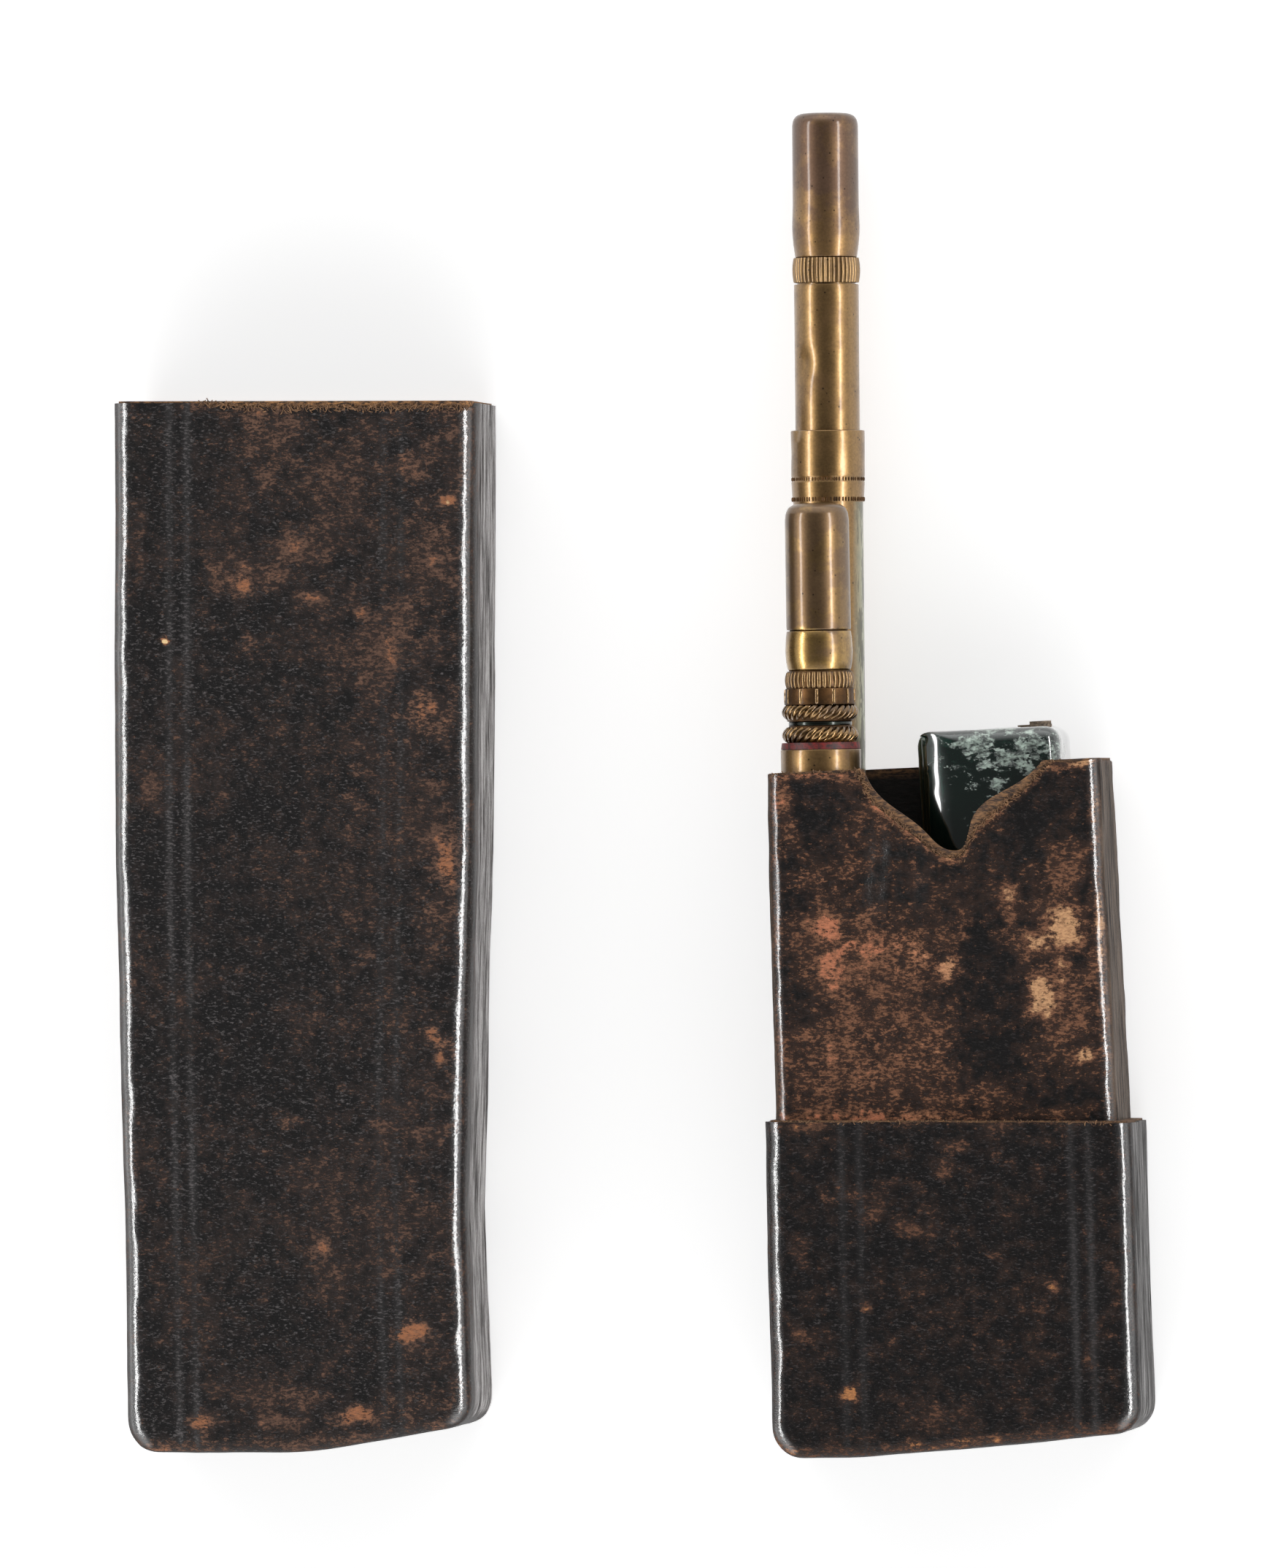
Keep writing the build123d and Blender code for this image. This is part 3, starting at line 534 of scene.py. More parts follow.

# %% [markdown]
# ## Where the wear is
#
# Wear isn't random: it sits where fingers hold the box and where it rubs in a sash. So each piece
# has a short list of places, read from its front: how far across, how high up, how wide and
# tall, and how deep the rub goes. The finish breaks their edges up.

# %% Wear marks from a list of places
def worn_places(points, places, seed):
    """The wear mark at each point, from places as (x, height, half width, half height, depth)."""
    wobble_x = uneven(points, (3.0, seed, 1.1), (1.2, seed + 1, 0.6))
    wobble_h = uneven(points, (3.0, seed + 2, 1.1), (1.2, seed + 3, 0.6))
    total = np.zeros(len(points))
    for x, h, half_w, half_h, depth in places:
        ragged = min(1, (half_w + half_h) / 6 + 0.1)
        away = np.hypot((points[:, 0] + wobble_x * ragged - x) / (half_w + 0.4),
                        (points[:, 1] + wobble_h * ragged - h) / (half_h + 0.4))
        total = np.maximum(total, depth * np.clip((1.55 - away) / 1.1, 0, 1))
    return total


def facing_of(normal):
    """How far each point is turned to a side, how much it faces the front, and how much it lies on
    an edge and on a front edge."""
    aside = np.abs(normal[:, 0])
    edge = ease(aside, 0.1, 0.4) * ease(np.abs(normal[:, 2]), 0.1, 0.4)
    return aside, ease(normal[:, 2], 0.3, 0.95), edge, ease(aside, 0.1, 0.3) * ease(normal[:, 2], 0.5, 0.75)


def case_relief(places, lines, laid, seed, creases=(), general=None, shine=1, shade_to=(5.0, 12.0)):
    """The unevenness and the marks of a case piece's leather. The left tooled lines get a painted sheen
    if shine is 1, the right ones if it is -1. Near the front the sides keep little of their dusty
    colour, a painted band of shade that fades out between the depths shade_to, in mm from the front."""
    left, right = laid[4]

    def relief(points, normal):
        aside, facing, edge, rounded = facing_of(normal)
        # Near the front edge the sides' dusty colour is mostly taken out: a painted band of shade beside the
        # edge's highlight
        side = ease(aside, 0.72, 0.98) * (0.12 + 0.88 * ease(DEPTH - points[:, 2], *shade_to))
        under = ease(-normal[:, 2], 0.1, 0.6)
        end_edge = ease(-normal[:, 1], 0.15, 0.5) * ease(normal[:, 2], 0.1, 0.4)
        x, h = points[:, 0], points[:, 1]
        height = uneven(points, (26, seed, 0.25), (7, seed + 4, 0.07), (2.4, seed + 5, 0.03))
        height += edge * uneven(points, (5.5, seed + 6, 0.16), (1.9, seed + 7, 0.05))
        # The tooled lines, pressed in unevenly, and the creases
        share = (x - left(h)) / (right(h) - left(h))
        width = float(right(60) - left(60))
        lined = np.max([np.exp(-((share - line) * width / 0.7) ** 2) for line in lines], axis=0)
        faint = 0.55 + 0.45 * lumps(points, 9, seed + 3)
        height -= facing * 0.11 * lined * faint
        for cx, ch, turn, length, deep in creases:
            a = radians(turn)
            u = (x - cx) * cos(a) + (h - ch) * sin(a)
            v = -(x - cx) * sin(a) + (h - ch) * cos(a) + 0.5 * lumps(points, 4, seed + 9)
            height += facing * deep * np.exp(-(v / 0.7) ** 2) * ease(length / 2 - np.abs(u), 0, 2)
        height = height * (1 - under) - 0.12 * under
        # The wear: places in the list, all over, on the edges and at the closed end
        worn = worn_places(points, places, seed + 10) * facing
        if general:
            worn += general(points) * facing
        worn += edge * 0.10 * (1 + lumps(points, 6, seed + 8)) * (normal[:, 2] > 0)
        worn = np.maximum(worn, end_edge * (0.55 + 0.45 * lumps(points, 5, seed + 2)))
        worn -= 0.3 * ease(-normal[:, 1], 0.8, 0.97)
        polish = np.clip(rounded * (1.0 - 0.5 * end_edge), 0, 1)
        # How much painted sheen each tooled line gets: all of it for the shining pair, less for the other
        painted_sheen = np.where((share - 0.5) * shine < 0, 1.0, 0.6)
        return height, {"worn": worn, "side": side, "polish": polish,
                        "tooled": lined * facing * faint * painted_sheen}
    return relief


def rim_lumps(x, z, *parts):
    """Raggedness along a rim at x and depth z, from parts of (size, seed, amount) in mm."""
    return uneven(np.stack([x, 0 * x, z], -1).reshape(-1, 3), *parts).reshape(x.shape)


print("wear in the middle of a deep rub:", worn_places(np.zeros((1, 3)), [(0, 0, 3, 3, 1.0)], 1).round(2))

# %% [markdown]
# ## The cover
#
# The long piece. Its sides bow in at the waist, two pairs of tooled lines run down its front, and its
# closed end is worn brown along the edge. At the mouth the leather has worn back from the board
# by up to a millimetre, from the left third to the right corner.

# %% Make the cover's leather
LEATHER, SLEEVE_LEATHER = 0.72, 0.42        # how thick the two kinds of leather are, in mm
cover_places = [
    (-126.6, 188.1, 6.4, 4.3, 0.5), (-133.9, 192.9, 8.0, 1.3, 0.6), (-120.6, 179.8, 8.0, 4.0, 0.35),
    (-120.9, 166.8, 3.7, 2.9, 0.6), (-129.9, 160.9, 2.7, 2.9, 0.85), (-135.2, 161.2, 2.9, 2.4, 0.55),
    (-124.6, 160.8, 2.9, 1.5, 0.7), (-117.7, 157.2, 2.9, 0.7, 1.0), (-129.0, 148.9, 1.3, 1.3, 0.8),
    (-108.3, 154.5, 0.7, 0.9, 1.1), (-103.3, 148.5, 1.9, 3.5, 0.65), (-101.9, 154.2, 2.7, 2.4, 0.5),
    (-95.7, 165.6, 1.7, 2.9, 0.6), (-99.3, 181.2, 1.9, 2.7, 0.45), (-92.3, 175.2, 1.1, 0.7, 1.0),
    (-95.9, 136.5, 4.8, 4.0, 0.6), (-109.9, 144.5, 6.0, 4.7, 0.35), (-146.8, 121.4, 1.7, 2.4, 0.5),
    (-109.9, 120.5, 1.6, 1.1, 0.6), (-94.6, 122.5, 2.7, 0.9, 0.6), (-92.9, 109.8, 1.9, 5.6, 0.8),
    (-93.9, 98.5, 2.7, 4.7, 0.45), (-95.3, 78.2, 1.1, 0.8, 0.9), (-93.9, 73.2, 0.9, 1.2, 0.9),
    (-93.3, 75.8, 2.4, 1.9, 0.5), (-121.7, 61.6, 1.3, 0.7, 0.8), (-115.7, 38.5, 1.1, 1.9, 0.8),
    (-98.6, 22.9, 3.2, 1.3, 1.0), (-137.0, 6.5, 2.4, 1.9, 1.0), (-124.6, 6.5, 4.7, 0.9, 0.75),
    (-108.3, 7.9, 4.3, 1.5, 0.95), (-123.3, 11.2, 8.0, 1.9, 0.4), (-97.9, 10.5, 6.7, 1.9, 0.35),
    (-128.6, 1.9, 14.7, 1.6, 0.35), (-144.6, 149.6, 0.6, 0.5, 1.8), (-92.4, 175.1, 0.7, 0.3, 1.3)]
cover_lines = (0.157, 0.206, 0.748, 0.797)
cover_creases = [(-145.0, 37.0, 70, 9, -0.3), (-147.5, 10.0, 40, 6, -0.25), (-146.0, 7.5, 60, 5, 0.2),
                 (-92.0, 21.0, 80, 8, 0.25), (-94.0, 14.0, 110, 8, -0.3), (-117.0, 24.0, -45, 4, -0.25)]


def cover_top(x, z):
    """The leather's edge at the mouth: worn back from the board except at the left."""
    worn_back = ease(x, -139, -131) * (z > DEPTH - 4)
    return 193.2 - 0.15 - worn_back * (0.85 + rim_lumps(x, z, (5, 31, 0.4), (2.0, 32, 0.3)))


laid = net(["cover_leather", "cover_end_leather"], COVER_FOOT, COVER_MOUTH, cover_top, 0.95, cover_lines)


def cover_rub(points):
    """More fibres show on the right half and near the mouth."""
    return 0.16 * ease(points[:, 0], -128, -100) + 0.10 * ease(points[:, 1], 150, 185)


cover_relief = case_relief(cover_places, cover_lines, laid, 40, cover_creases, cover_rub)
cover_skin = skin("cover_skin", laid, LEATHER, cover_relief)
cover_skin.data.materials.append(cover_hide)
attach(cover_skin, "cover")
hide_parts("cover_leather", "cover_end_leather")

# %% [markdown]
# ## The base
#
# The short piece has the same make and the same tooled lines, and more polish, because it is the
# part that a hand grips. The corners of its closed end are rounded by use.

# %% Make the base's leather
base_places = [
    (-18.3, 12.3, 1.5, 1.6, 1.1), (-6.9, 2.5, 1.7, 1.2, 1.0), (20.7, 4.5, 6.7, 1.1, 0.7),
    (26.0, 4.9, 1.5, 0.8, 1.0), (18.7, 31.9, 0.8, 0.7, 0.8), (0.7, 57.2, 2.1, 0.8, 0.6),
    (-1.3, 52.9, 1.9, 1.3, 0.6), (-7.3, 42.5, 4.0, 1.1, 0.5), (-27.9, 39.2, 1.3, 2.1, 0.45),
    (-20.6, 48.5, 4.0, 1.6, 0.4), (-14.6, 45.9, 2.7, 1.9, 0.4), (25.6, 17.9, 0.8, 3.3, 0.5),
    (-15.3, 27.9, 0.7, 0.7, 0.8), (-28.2, 22.5, 0.7, 0.9, 0.7), (-0.6, 7.2, 8.0, 2.7, 0.3),
    (-27.3, 60.5, 4.0, 0.8, 0.6), (6.1, 61.6, 16.0, 0.5, 0.5)]
base_lines = (0.208, 0.256, 0.833, 0.880)
base_creases = [(-30.0, 8.0, 60, 5, -0.2), (27.0, 10.0, 110, 5, 0.2), (29.0, 7.0, 70, 5, -0.2),
                (14.0, 12.0, 85, 7, 0.15)]


def base_top(x, z):
    """The leather's edge at the base's rim."""
    return 61.7 - 0.12 * (1 + rim_lumps(x, z, (4, 51, 1.0)))


laid = net(["base_leather", "base_end_leather"], 0.0, BASE_RIM, base_top, 0.7, base_lines)
base_relief = case_relief(base_places, base_lines, laid, 60, base_creases, shine=-1, shade_to=(2.0, 5.0))
base_skin = skin("base_skin", laid, LEATHER, base_relief)
base_skin.data.materials.append(base_hide)
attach(base_skin, "case")
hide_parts("base_leather", "base_end_leather")

# %% [markdown]
# ## The sleeve
#
# The cover slides over this part thousands of times, so its thin skin is rubbed to tan in large
# patches. The front of its rim is torn down to the middle, where the bottle is pulled out. The tear
# is part of the net: each column ends where the leather ends.

# %% Make the sleeve's leather
sleeve_places = [
    (-14.2, 91.8, 14.0, 6.7, 0.62), (-23.3, 96.5, 2.9, 2.7, 0.9), (-21.7, 89.8, 2.9, 5.1, 0.9),
    (-7.9, 93.2, 4.7, 3.3, 0.7), (-13.7, 73.8, 15.3, 9.1, 0.48), (-0.6, 89.6, 2.0, 2.3, 1.15),
    (20.3, 97.8, 3.7, 3.7, 1.1), (18.0, 95.2, 2.9, 2.7, 0.95), (14.7, 94.5, 4.0, 1.9, 0.8),
    (16.7, 84.5, 2.7, 3.7, 1.0), (20.0, 89.2, 1.6, 2.7, 0.7), (24.3, 73.8, 1.6, 1.3, 1.0),
    (10.3, 101.8, 1.1, 3.3, 0.8), (20.7, 109.2, 2.0, 5.6, 0.5), (26.7, 95.8, 1.6, 8.0, 0.5),
    (28.0, 118.5, 1.6, 7.7, 0.9), (-30.6, 119.2, 1.5, 4.0, 0.5), (-23.3, 124.5, 9.3, 0.9, 0.6),
    (22.7, 126.9, 5.3, 0.8, 0.7), (-19.7, 109.2, 5.6, 4.3, 0.33), (-13.9, 62.3, 16.7, 1.3, 0.8),
    (21.8, 63.6, 5.3, 1.3, 0.6), (6.1, 66.5, 8.0, 3.3, 0.3), (22.0, 79.8, 5.3, 8.0, 0.35)]
RIM_LEFT, RIM_WIDTH, RIM_LOW, RIM_RISE = -34.2, 61.0, 125.1, 2.9
HIDDEN = 50.0               # the leather's lower edge, inside the base
TEAR = np.array([(-17.5, 126.2), (-15.0, 120.4), (-6.3, 113.5), (-2.2, 110.1), (1.9, 109.9),
                 (4.5, 115.3), (13.1, 122.3), (18.4, 127.8)])


def sleeve_top(x, z):
    """The edge of the sleeve's leather: a slanting rim, and the tear in the front."""
    ragged = rim_lumps(x, z, (3.5, 71, 0.3), (1.3, 72, 0.2))
    rim = RIM_LOW + (x - RIM_LEFT) / RIM_WIDTH * RIM_RISE
    torn = np.interp(x, TEAR[:, 0], TEAR[:, 1], left=200, right=200)
    ear = 1.5 * ease(x, 26.0, 27.2) * ease(z, 30, 32)
    return np.minimum(rim, np.where(z > 33, torn, 200)) - 0.25 + ragged + ear


def sleeve_relief(points, normal):
    """Soft wrinkles, sagging over the tools, and the wear marks."""
    aside, facing, edge, rounded = facing_of(normal)
    x, h = points[:, 0], points[:, 1]
    height = uneven(points, (18, 81, 0.2), (6, 82, 0.11), (2.2, 83, 0.05))
    height += edge * uneven(points, (4, 84, 0.12), (1.7, 85, 0.05))
    # The folds over the tools, which shine where they stand up
    sheen = np.zeros(len(points))
    for cx, width, deep in ((-14.0, 1.5, 0.55), (-11.0, 1.2, -0.35), (-5.5, 1.2, 0.3), (8.0, 1.6, -0.25)):
        bend = lumps(points, 9, 86) * 1.2
        fold = facing * np.exp(-((x + bend - cx) / width) ** 2) * ease(h, 96, 104) * ease(-h, -119, -112)
        height += deep * fold
        sheen = np.maximum(sheen, fold * (deep > 0) * (0.28 + 0.28 * lumps(points, 3, 87)))
    height *= ease(h, 60, 64)
    worn = worn_places(points, sleeve_places, 90) * facing + edge * 0.30 * (1 + lumps(points, 7, 91))
    worn += 0.10 * (1 + lumps(points, 10, 92)) * facing
    worn -= 0.3 * np.exp(-((x - 6.5) / 4.5) ** 2) * facing * ease(h, 66, 74)
    worn = np.maximum(worn, ease(h - sleeve_top(x, points[:, 2]), -1.8, -0.3) * 0.75)
    polish = np.maximum(rounded * (0.75 + 0.25 * lumps(points, 8, 93)), sheen)
    return height, {"worn": worn, "side": ease(aside, 0.6, 0.95) * 0.8, "polish": np.clip(polish, 0, 1)}


def sleeve_foot(x):
    """The leather's lower edge is level."""
    return np.full_like(np.asarray(x, float), HIDDEN)


laid = net(["sleeve_leather"], HIDDEN, 125.2, sleeve_top, 0.62, closed=False, bottom=sleeve_foot)
sleeve_skin = skin("sleeve_skin", laid, SLEEVE_LEATHER, sleeve_relief, closed=False)
sleeve_skin.data.materials.append(sleeve_hide)
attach(sleeve_skin, "case")
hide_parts("sleeve_leather")

# %% [markdown]
# ## Old brass
#
# The tools are yellow brass, turned on a lathe and once lacquered. What is left of the lacquer is a
# thin hard film, the metal under it has gone brown, and dust and polish sit in every groove. So the
# finish is a rough metal with brown clouds, fine scratches round the piece and dark specks, under a
# weak clear coat whose reflection is sharper and whiter than the metal's.

# %% The brass finish
def old_brass(name, bright, dull, tarnish, rough, clouds=0.5, film=0.6, reflect_at=None, dull_at=None,
              grime_at=None):
    """Tarnished brass: three hex colours, its roughness, how much of it is clouded, how much
    lacquer is left, the heights in mm between which it goes dull and the band of heights that is
    full of grime, and the places across it in mm between which a reflection of green glass and
    dark leather is painted on."""
    material, add = new_material(name)
    here = add("TexCoord", out="Object")
    # 6 mm clouds, 0.45 mm mottling, specks 1.7 mm apart and scratches 0.15 mm wide round the piece
    cloud = add("TexNoise", {"Vector": here, "Scale": 1 / (6 * MM), "Detail": 6.0, "Roughness": 0.62})
    mottle = add("TexNoise", {"Vector": here, "Scale": 1 / (0.45 * MM), "Detail": 3.0, "Roughness": 0.7})
    stretched = add("Mapping", {"Vector": here, "Scale": (0.12, 1.0, 0.12)})
    scratch = add("TexNoise", {"Vector": stretched, "Scale": 1 / (0.15 * MM), "Detail": 2.0,
                               "Roughness": 0.5})
    speck = add("TexVoronoi", {"Vector": here, "Scale": 1 / (1.7 * MM), "Randomness": 1.0})
    speck = add("MapRange", {"Value": speck, "From Min": 0.13, "From Max": 0.05})
    speck = add("Math", {0: speck, 1: cloud}, operation="MULTIPLY")
    brown = add("MapRange", {"Value": cloud, "From Min": 0.62 - 0.3 * clouds,
                             "From Max": 0.85 - 0.25 * clouds})
    place = add("SeparateXYZ", {0: here}, out="all")
    if dull_at:
        wavy = add("Math", {0: cloud, 1: 4 * MM, 2: place["Y"]})
        low, high = [(h - BASE_MIDDLE + 2) * MM for h in dull_at]
        up = add("MapRange", {"Value": wavy, "From Min": low, "From Max": high})
        brown = add("Math", {0: up, 1: 0.75, 2: brown}, use_clamp=True)
    metal = add("Mix", {0: brown, 6: bright, 7: dull})
    shade = add("MapRange", {"Value": mottle, "From Min": 0.35, "From Max": 0.7, "To Max": 0.35})
    metal = add("Mix", {0: shade, 6: metal, 7: tarnish})
    spotted = add("MapRange", {"Value": speck, "From Max": 0.5, "To Max": 0.9})
    metal = add("Mix", {0: spotted, 6: metal, 7: "241a12"})
    if grime_at:
        # Dark green grime, packed into a groove
        low, high = [(h - BASE_MIDDLE) * MM for h in grime_at]
        inside = add("Math", {0: place["Y"], 1: (low + high) / 2}, operation="SUBTRACT")
        inside = add("Math", {0: inside}, operation="ABSOLUTE")
        inside = add("MapRange", {"Value": inside, "From Min": (high - low) / 2 + 0.1 * MM,
                                  "From Max": (high - low) / 2 - 0.1 * MM})
        metal = add("Mix", {0: inside, 6: metal, 7: "1b211b"})
    if reflect_at:
        # A painted reflection: pale green and jagged dark streaks along the edge that faces the green
        # glass and the dark leather
        long_way = add("Mapping", {"Vector": here, "Scale": (1.0, 0.14, 1.0)})
        streak = add("TexNoise", {"Vector": long_way, "Scale": 1 / (1.5 * MM), "Detail": 4.0,
                                  "Roughness": 0.7})
        near = add("MapRange", {"Value": place["X"], "From Min": reflect_at[0] * MM, "From Max": reflect_at[1] * MM})
        pale = add("Math", {0: near, 1: 0.85}, operation="MULTIPLY")
        metal = add("Mix", {0: pale, 6: metal, 7: "b4c0ac"})
        dark = add("MapRange", {"Value": streak, "From Min": 0.50, "From Max": 0.525})
        dark = add("Math", {0: dark, 1: near}, operation="MULTIPLY")
        metal = add("Mix", {0: dark, 6: metal, 7: "2c251f"})
    worn = add("Math", {0: cloud, 1: 0.22, 2: rough - 0.11})
    worn = add("Math", {0: brown, 1: 0.10, 2: worn})
    height = add("Math", {0: speck, 1: -2.0, 2: scratch})
    bump = add("Bump", {"Height": height, "Strength": 0.25, "Distance": 0.03 * MM})
    surface = add("BsdfPrincipled", {"Base Color": metal, "Metallic": 1.0, "Roughness": worn,
                                     "Normal": bump, "Coat Weight": film, "Coat Roughness": 0.14})
    add("OutputMaterial", {0: surface})
    return material


yellow_brass = old_brass("Yellow brass, turned, lacquer half worn off", "93744a", "6a5138", "3f2e1d", 0.36)
hand_brass = old_brass("Yellow brass, dulled by handling", "94744a", "675040", "3f3024", 0.38,
                       clouds=0.7, dull_at=(226.0, 234.0))
cap_brass = old_brass("Yellow brass, browned above and bright below", "ad8b50", "735b41", "43342a", 0.29,
                      clouds=0.6, dull_at=(151.2, 152.0), grime_at=(133.5, 135.2))
reflection_brass = old_brass("Yellow brass, painted reflection", "93744a", "6a5138", "3f2e1d", 0.36,
                          reflect_at=(-20.2, -18.0))
# Dark brass for the ring cores and the collar's ticks: painted shade in the gaps and grooves
shade_brass = old_brass("Brass black with old polish in its grooves", "6b4c2e", "38291c", "1c1712", 0.45,
                         clouds=0.9, film=0.1)
rope_brass = old_brass("Yellow brass, cut by hand, dark between the cuts", "93703c", "4f381f", "2b1f13",
                       0.25, clouds=0.8, film=0.8)
print("brass finishes:", sum("brass" in m.name.lower() for m in bpy.data.materials))

# %% [markdown]
# ## Turned pieces
#
# A lathe makes everything round from one outline. The outline here is a list of radii and heights,
# read off the model's own sizes. Real turning never leaves a knife edge, so each corner is eased by
# a small round first, and long runs are cut into short ones so that the tube can waver a little.

# %% Spin an outline round an axis
PEN_AT, SEAL_AT = (-23.6, 10.35, 0.5), (-22.7, 25.85, 1.0)     # x, depth and lean in degrees
ON_AXIS = 1e-6              # a radius below this is a point on the axis


def axis_frame(at):
    """A matrix that stands a piece's own Z axis up the case, at x and depth, leaning to the left."""
    x, depth, lean = at
    side = Vector((cos(radians(lean)), sin(radians(lean)), 0))
    up = Vector((-sin(radians(lean)), cos(radians(lean)), 0))
    frame_of = Matrix((side, Vector((0, 0, -1)), up)).transposed().to_4x4()
    frame_of.translation = Vector((x, -BASE_MIDDLE, depth)) * MM
    return frame_of


def eased(outline, ease_by, run=1.6):
    """Round an outline's corners and divide its long runs, all in mm."""
    eased_points = []
    count = len(outline)
    for i, corner in enumerate(outline):
        before, after = Vector(outline[i - 1]), Vector(outline[(i + 1) % count])
        corner = Vector(corner)
        if corner.x < ON_AXIS:
            eased_points.append(corner)
            continue
        cut = [min(ease_by, (near - corner).length * 0.45) for near in (before, after)]
        a = corner + (before - corner).normalized() * cut[0]
        b = corner + (after - corner).normalized() * cut[1]
        eased_points += [a, a * 0.3 + corner * 0.4 + b * 0.3, b]
    divided = []
    for here, there in zip(eased_points, eased_points[1:] + eased_points[:1]):
        parts = max(1, int((there - here).length / run)) if min(here.x, there.x) > ON_AXIS else 1
        divided += [here.lerp(there, k / parts) for k in range(parts)]
    return divided


def turned(name, at, outline, ease_by=0.12, turns=144, waver=0.03, dents=(), smooth=40.0, seed=5):
    """Spin a closed outline of (radius, height) in mm. Dents are (angle in degrees from the front,
    height, spread, depth)."""
    outline = eased(outline, ease_by)
    radius = np.array([p.x for p in outline])[:, None]
    height = np.array([p.y for p in outline])[:, None]
    angle = np.linspace(0, 2 * pi, turns, endpoint=False)[None, :]
    places = np.stack(np.broadcast_arrays(radius * np.cos(angle), radius * np.sin(angle), height), -1)
    flat = places.reshape(-1, 3)
    shift = uneven(flat, (14, seed, waver), (5, seed + 1, waver * 0.35)).reshape(places.shape[:2])
    for turn, up, spread, deep in dents:
        off = (angle * 180 / pi - turn - 270 + 540) % 360 - 180
        away = np.hypot(np.radians(off) * radius, height - up) / spread
        shift = shift - deep * np.exp(-away ** 2)
    spun_r = radius + shift * (radius > ON_AXIS)
    mesh = bmesh.new()
    rings = []
    for k in range(len(outline)):
        if outline[k].x < ON_AXIS:
            rings.append([mesh.verts.new((0, 0, outline[k].y))] * turns)
            continue
        rings.append([mesh.verts.new((spun_r[k, j] * cos(angle[0, j]), spun_r[k, j] * sin(angle[0, j]),
                                      outline[k].y)) for j in range(turns)])
    for low, high in zip(rings, rings[1:] + rings[:1]):
        if low[0] is low[1] and high[0] is high[1]:
            continue
        for j in range(turns):
            corners = [low[j - 1], low[j], high[j], high[j - 1]]
            mesh.faces.new(list(dict.fromkeys(corners)))
    bmesh.ops.recalc_face_normals(mesh, faces=mesh.faces)
    made = bpy.data.meshes.new(name)
    mesh.to_mesh(made)
    mesh.free()
    made.transform(axis_frame(at) @ Matrix.Scale(MM, 4))
    made.shade_smooth()
    made.set_sharp_from_angle(angle=radians(smooth))
    return link(name, made)


def dress(piece, finish, body, slot, *nodes):
    """Give a finished piece its material, its body and the nodes that it stands for; slot is not used."""
    piece.data.materials.clear()
    piece.data.materials.append(finish)
    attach(piece, body)
    if nodes:
        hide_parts(*nodes)
    print(piece.name, len(piece.data.polygons), "faces on", body)


def brass(node, finish, body, at, outline, ease_by=0.1, **more):
    """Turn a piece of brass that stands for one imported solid, and dress it."""
    dress(turned(node + "_brass", at, outline, ease_by, **more), finish, body, "brass", node)


# %% [markdown]
# ## The pen's tubes
#
# The pen is two tubes and a cap. The barrel stands in the sleeve and ends in a collar that was spun
# on. The thinner tube draws up out of the collar, and someone has dented it on its left, so the
# long highlight kinks there. The cap swells above its bead, as a stamped cap does.

# %% Turn the pen's barrel, collar, tube and cap
# The barrel's right edge gets a painted reflection of the green glass and dark leather beside it
brass("pen_barrel", reflection_brass, "pen_holder", PEN_AT,
      [(6.0, 8.7), (6.45, 8.7), (6.45, 182.95), (6.0, 182.95)], 0.1)

brass("pen_collar", yellow_brass, "pen_holder", PEN_AT,
      [(6.5, 175.1), (6.55, 175.1), (6.75, 178.7), (6.62, 179.1), (6.62, 179.5), (6.78, 179.9),
       (6.8, 186.0), (6.8, 188.2), (6.4, 188.3), (6.02, 188.3), (6.02, 183.05), (6.5, 183.05)], 0.1,
      waver=0.05, dents=[(-50, 188.3, 0.8, 0.35), (30, 181.5, 0.9, 0.12), (-80, 184.0, 2.0, 0.10)], seed=8)

brass("pen_tube", yellow_brass, "pen_stem", PEN_AT,
      [(5.35, 152.0), (5.95, 152.0), (5.95, 215.1), (5.35, 215.1)], 0.1, waver=0.035,
      dents=[(-38, 200.6, 2.4, 0.42), (-40, 200.2, 0.8, 0.15), (6, 212.0, 1.6, 0.10), (20, 204.0, 1.0, 0.05)],
      seed=11)

brass("pen_cap", hand_brass, "pen_top", PEN_AT,
      [(5.35, 220.0), (5.65, 220.0), (5.76, 220.7), (6.0, 222.4), (6.17, 224.4), (6.2, 225.6),
       (6.14, 227.6), (6.06, 229.6), (6.05, 244.4), (5.85, 245.4), (5.3, 246.1), (4.4, 246.5),
       (3.0, 246.62), (0.0, 246.68), (0.0, 245.9), (3.7, 245.9), (5.35, 244.5)], 0.3, waver=0.03,
      seed=15, dents=[(25, 238.0, 2.5, 0.04), (-30, 233.0, 3.0, 0.04)])

# %% [markdown]
# ## Reeds, ropes and ribs
#
# The rings that grip the fingers all repeat one strand round a circle: straight and thin for the
# reeded rings, fat and slanting for the two ropes, far apart for the ribs. One node tree makes them
# all. It bends a short line round the axis, gives it thickness, and sets copies of it in a circle.
# The copies are made real at the end, so the result is a plain mesh.

# %% The tree that sets strands round a circle
SOCKETS = {int: "NodeSocketInt", float: "NodeSocketFloat"}


def new_tree(name, values, mesh_name=None):
    """An empty geometry tree with named inputs: returns it, its adding function and its inputs."""
    tree = bpy.data.node_groups.new(name, "GeometryNodeTree")
    add = partial(add_node, tree)
    if mesh_name:
        tree.interface.new_socket(mesh_name, in_out="INPUT", socket_type="NodeSocketGeometry")
    for key, value in values.items():
        socket = tree.interface.new_socket(key, in_out="INPUT",
                                           socket_type=SOCKETS.get(type(value), "NodeSocketMaterial"))
        if value is not None:
            socket.default_value = value
    tree.interface.new_socket("Geometry", in_out="OUTPUT", socket_type="NodeSocketGeometry")
    return tree, add, add("NodeGroupInput", out="all")


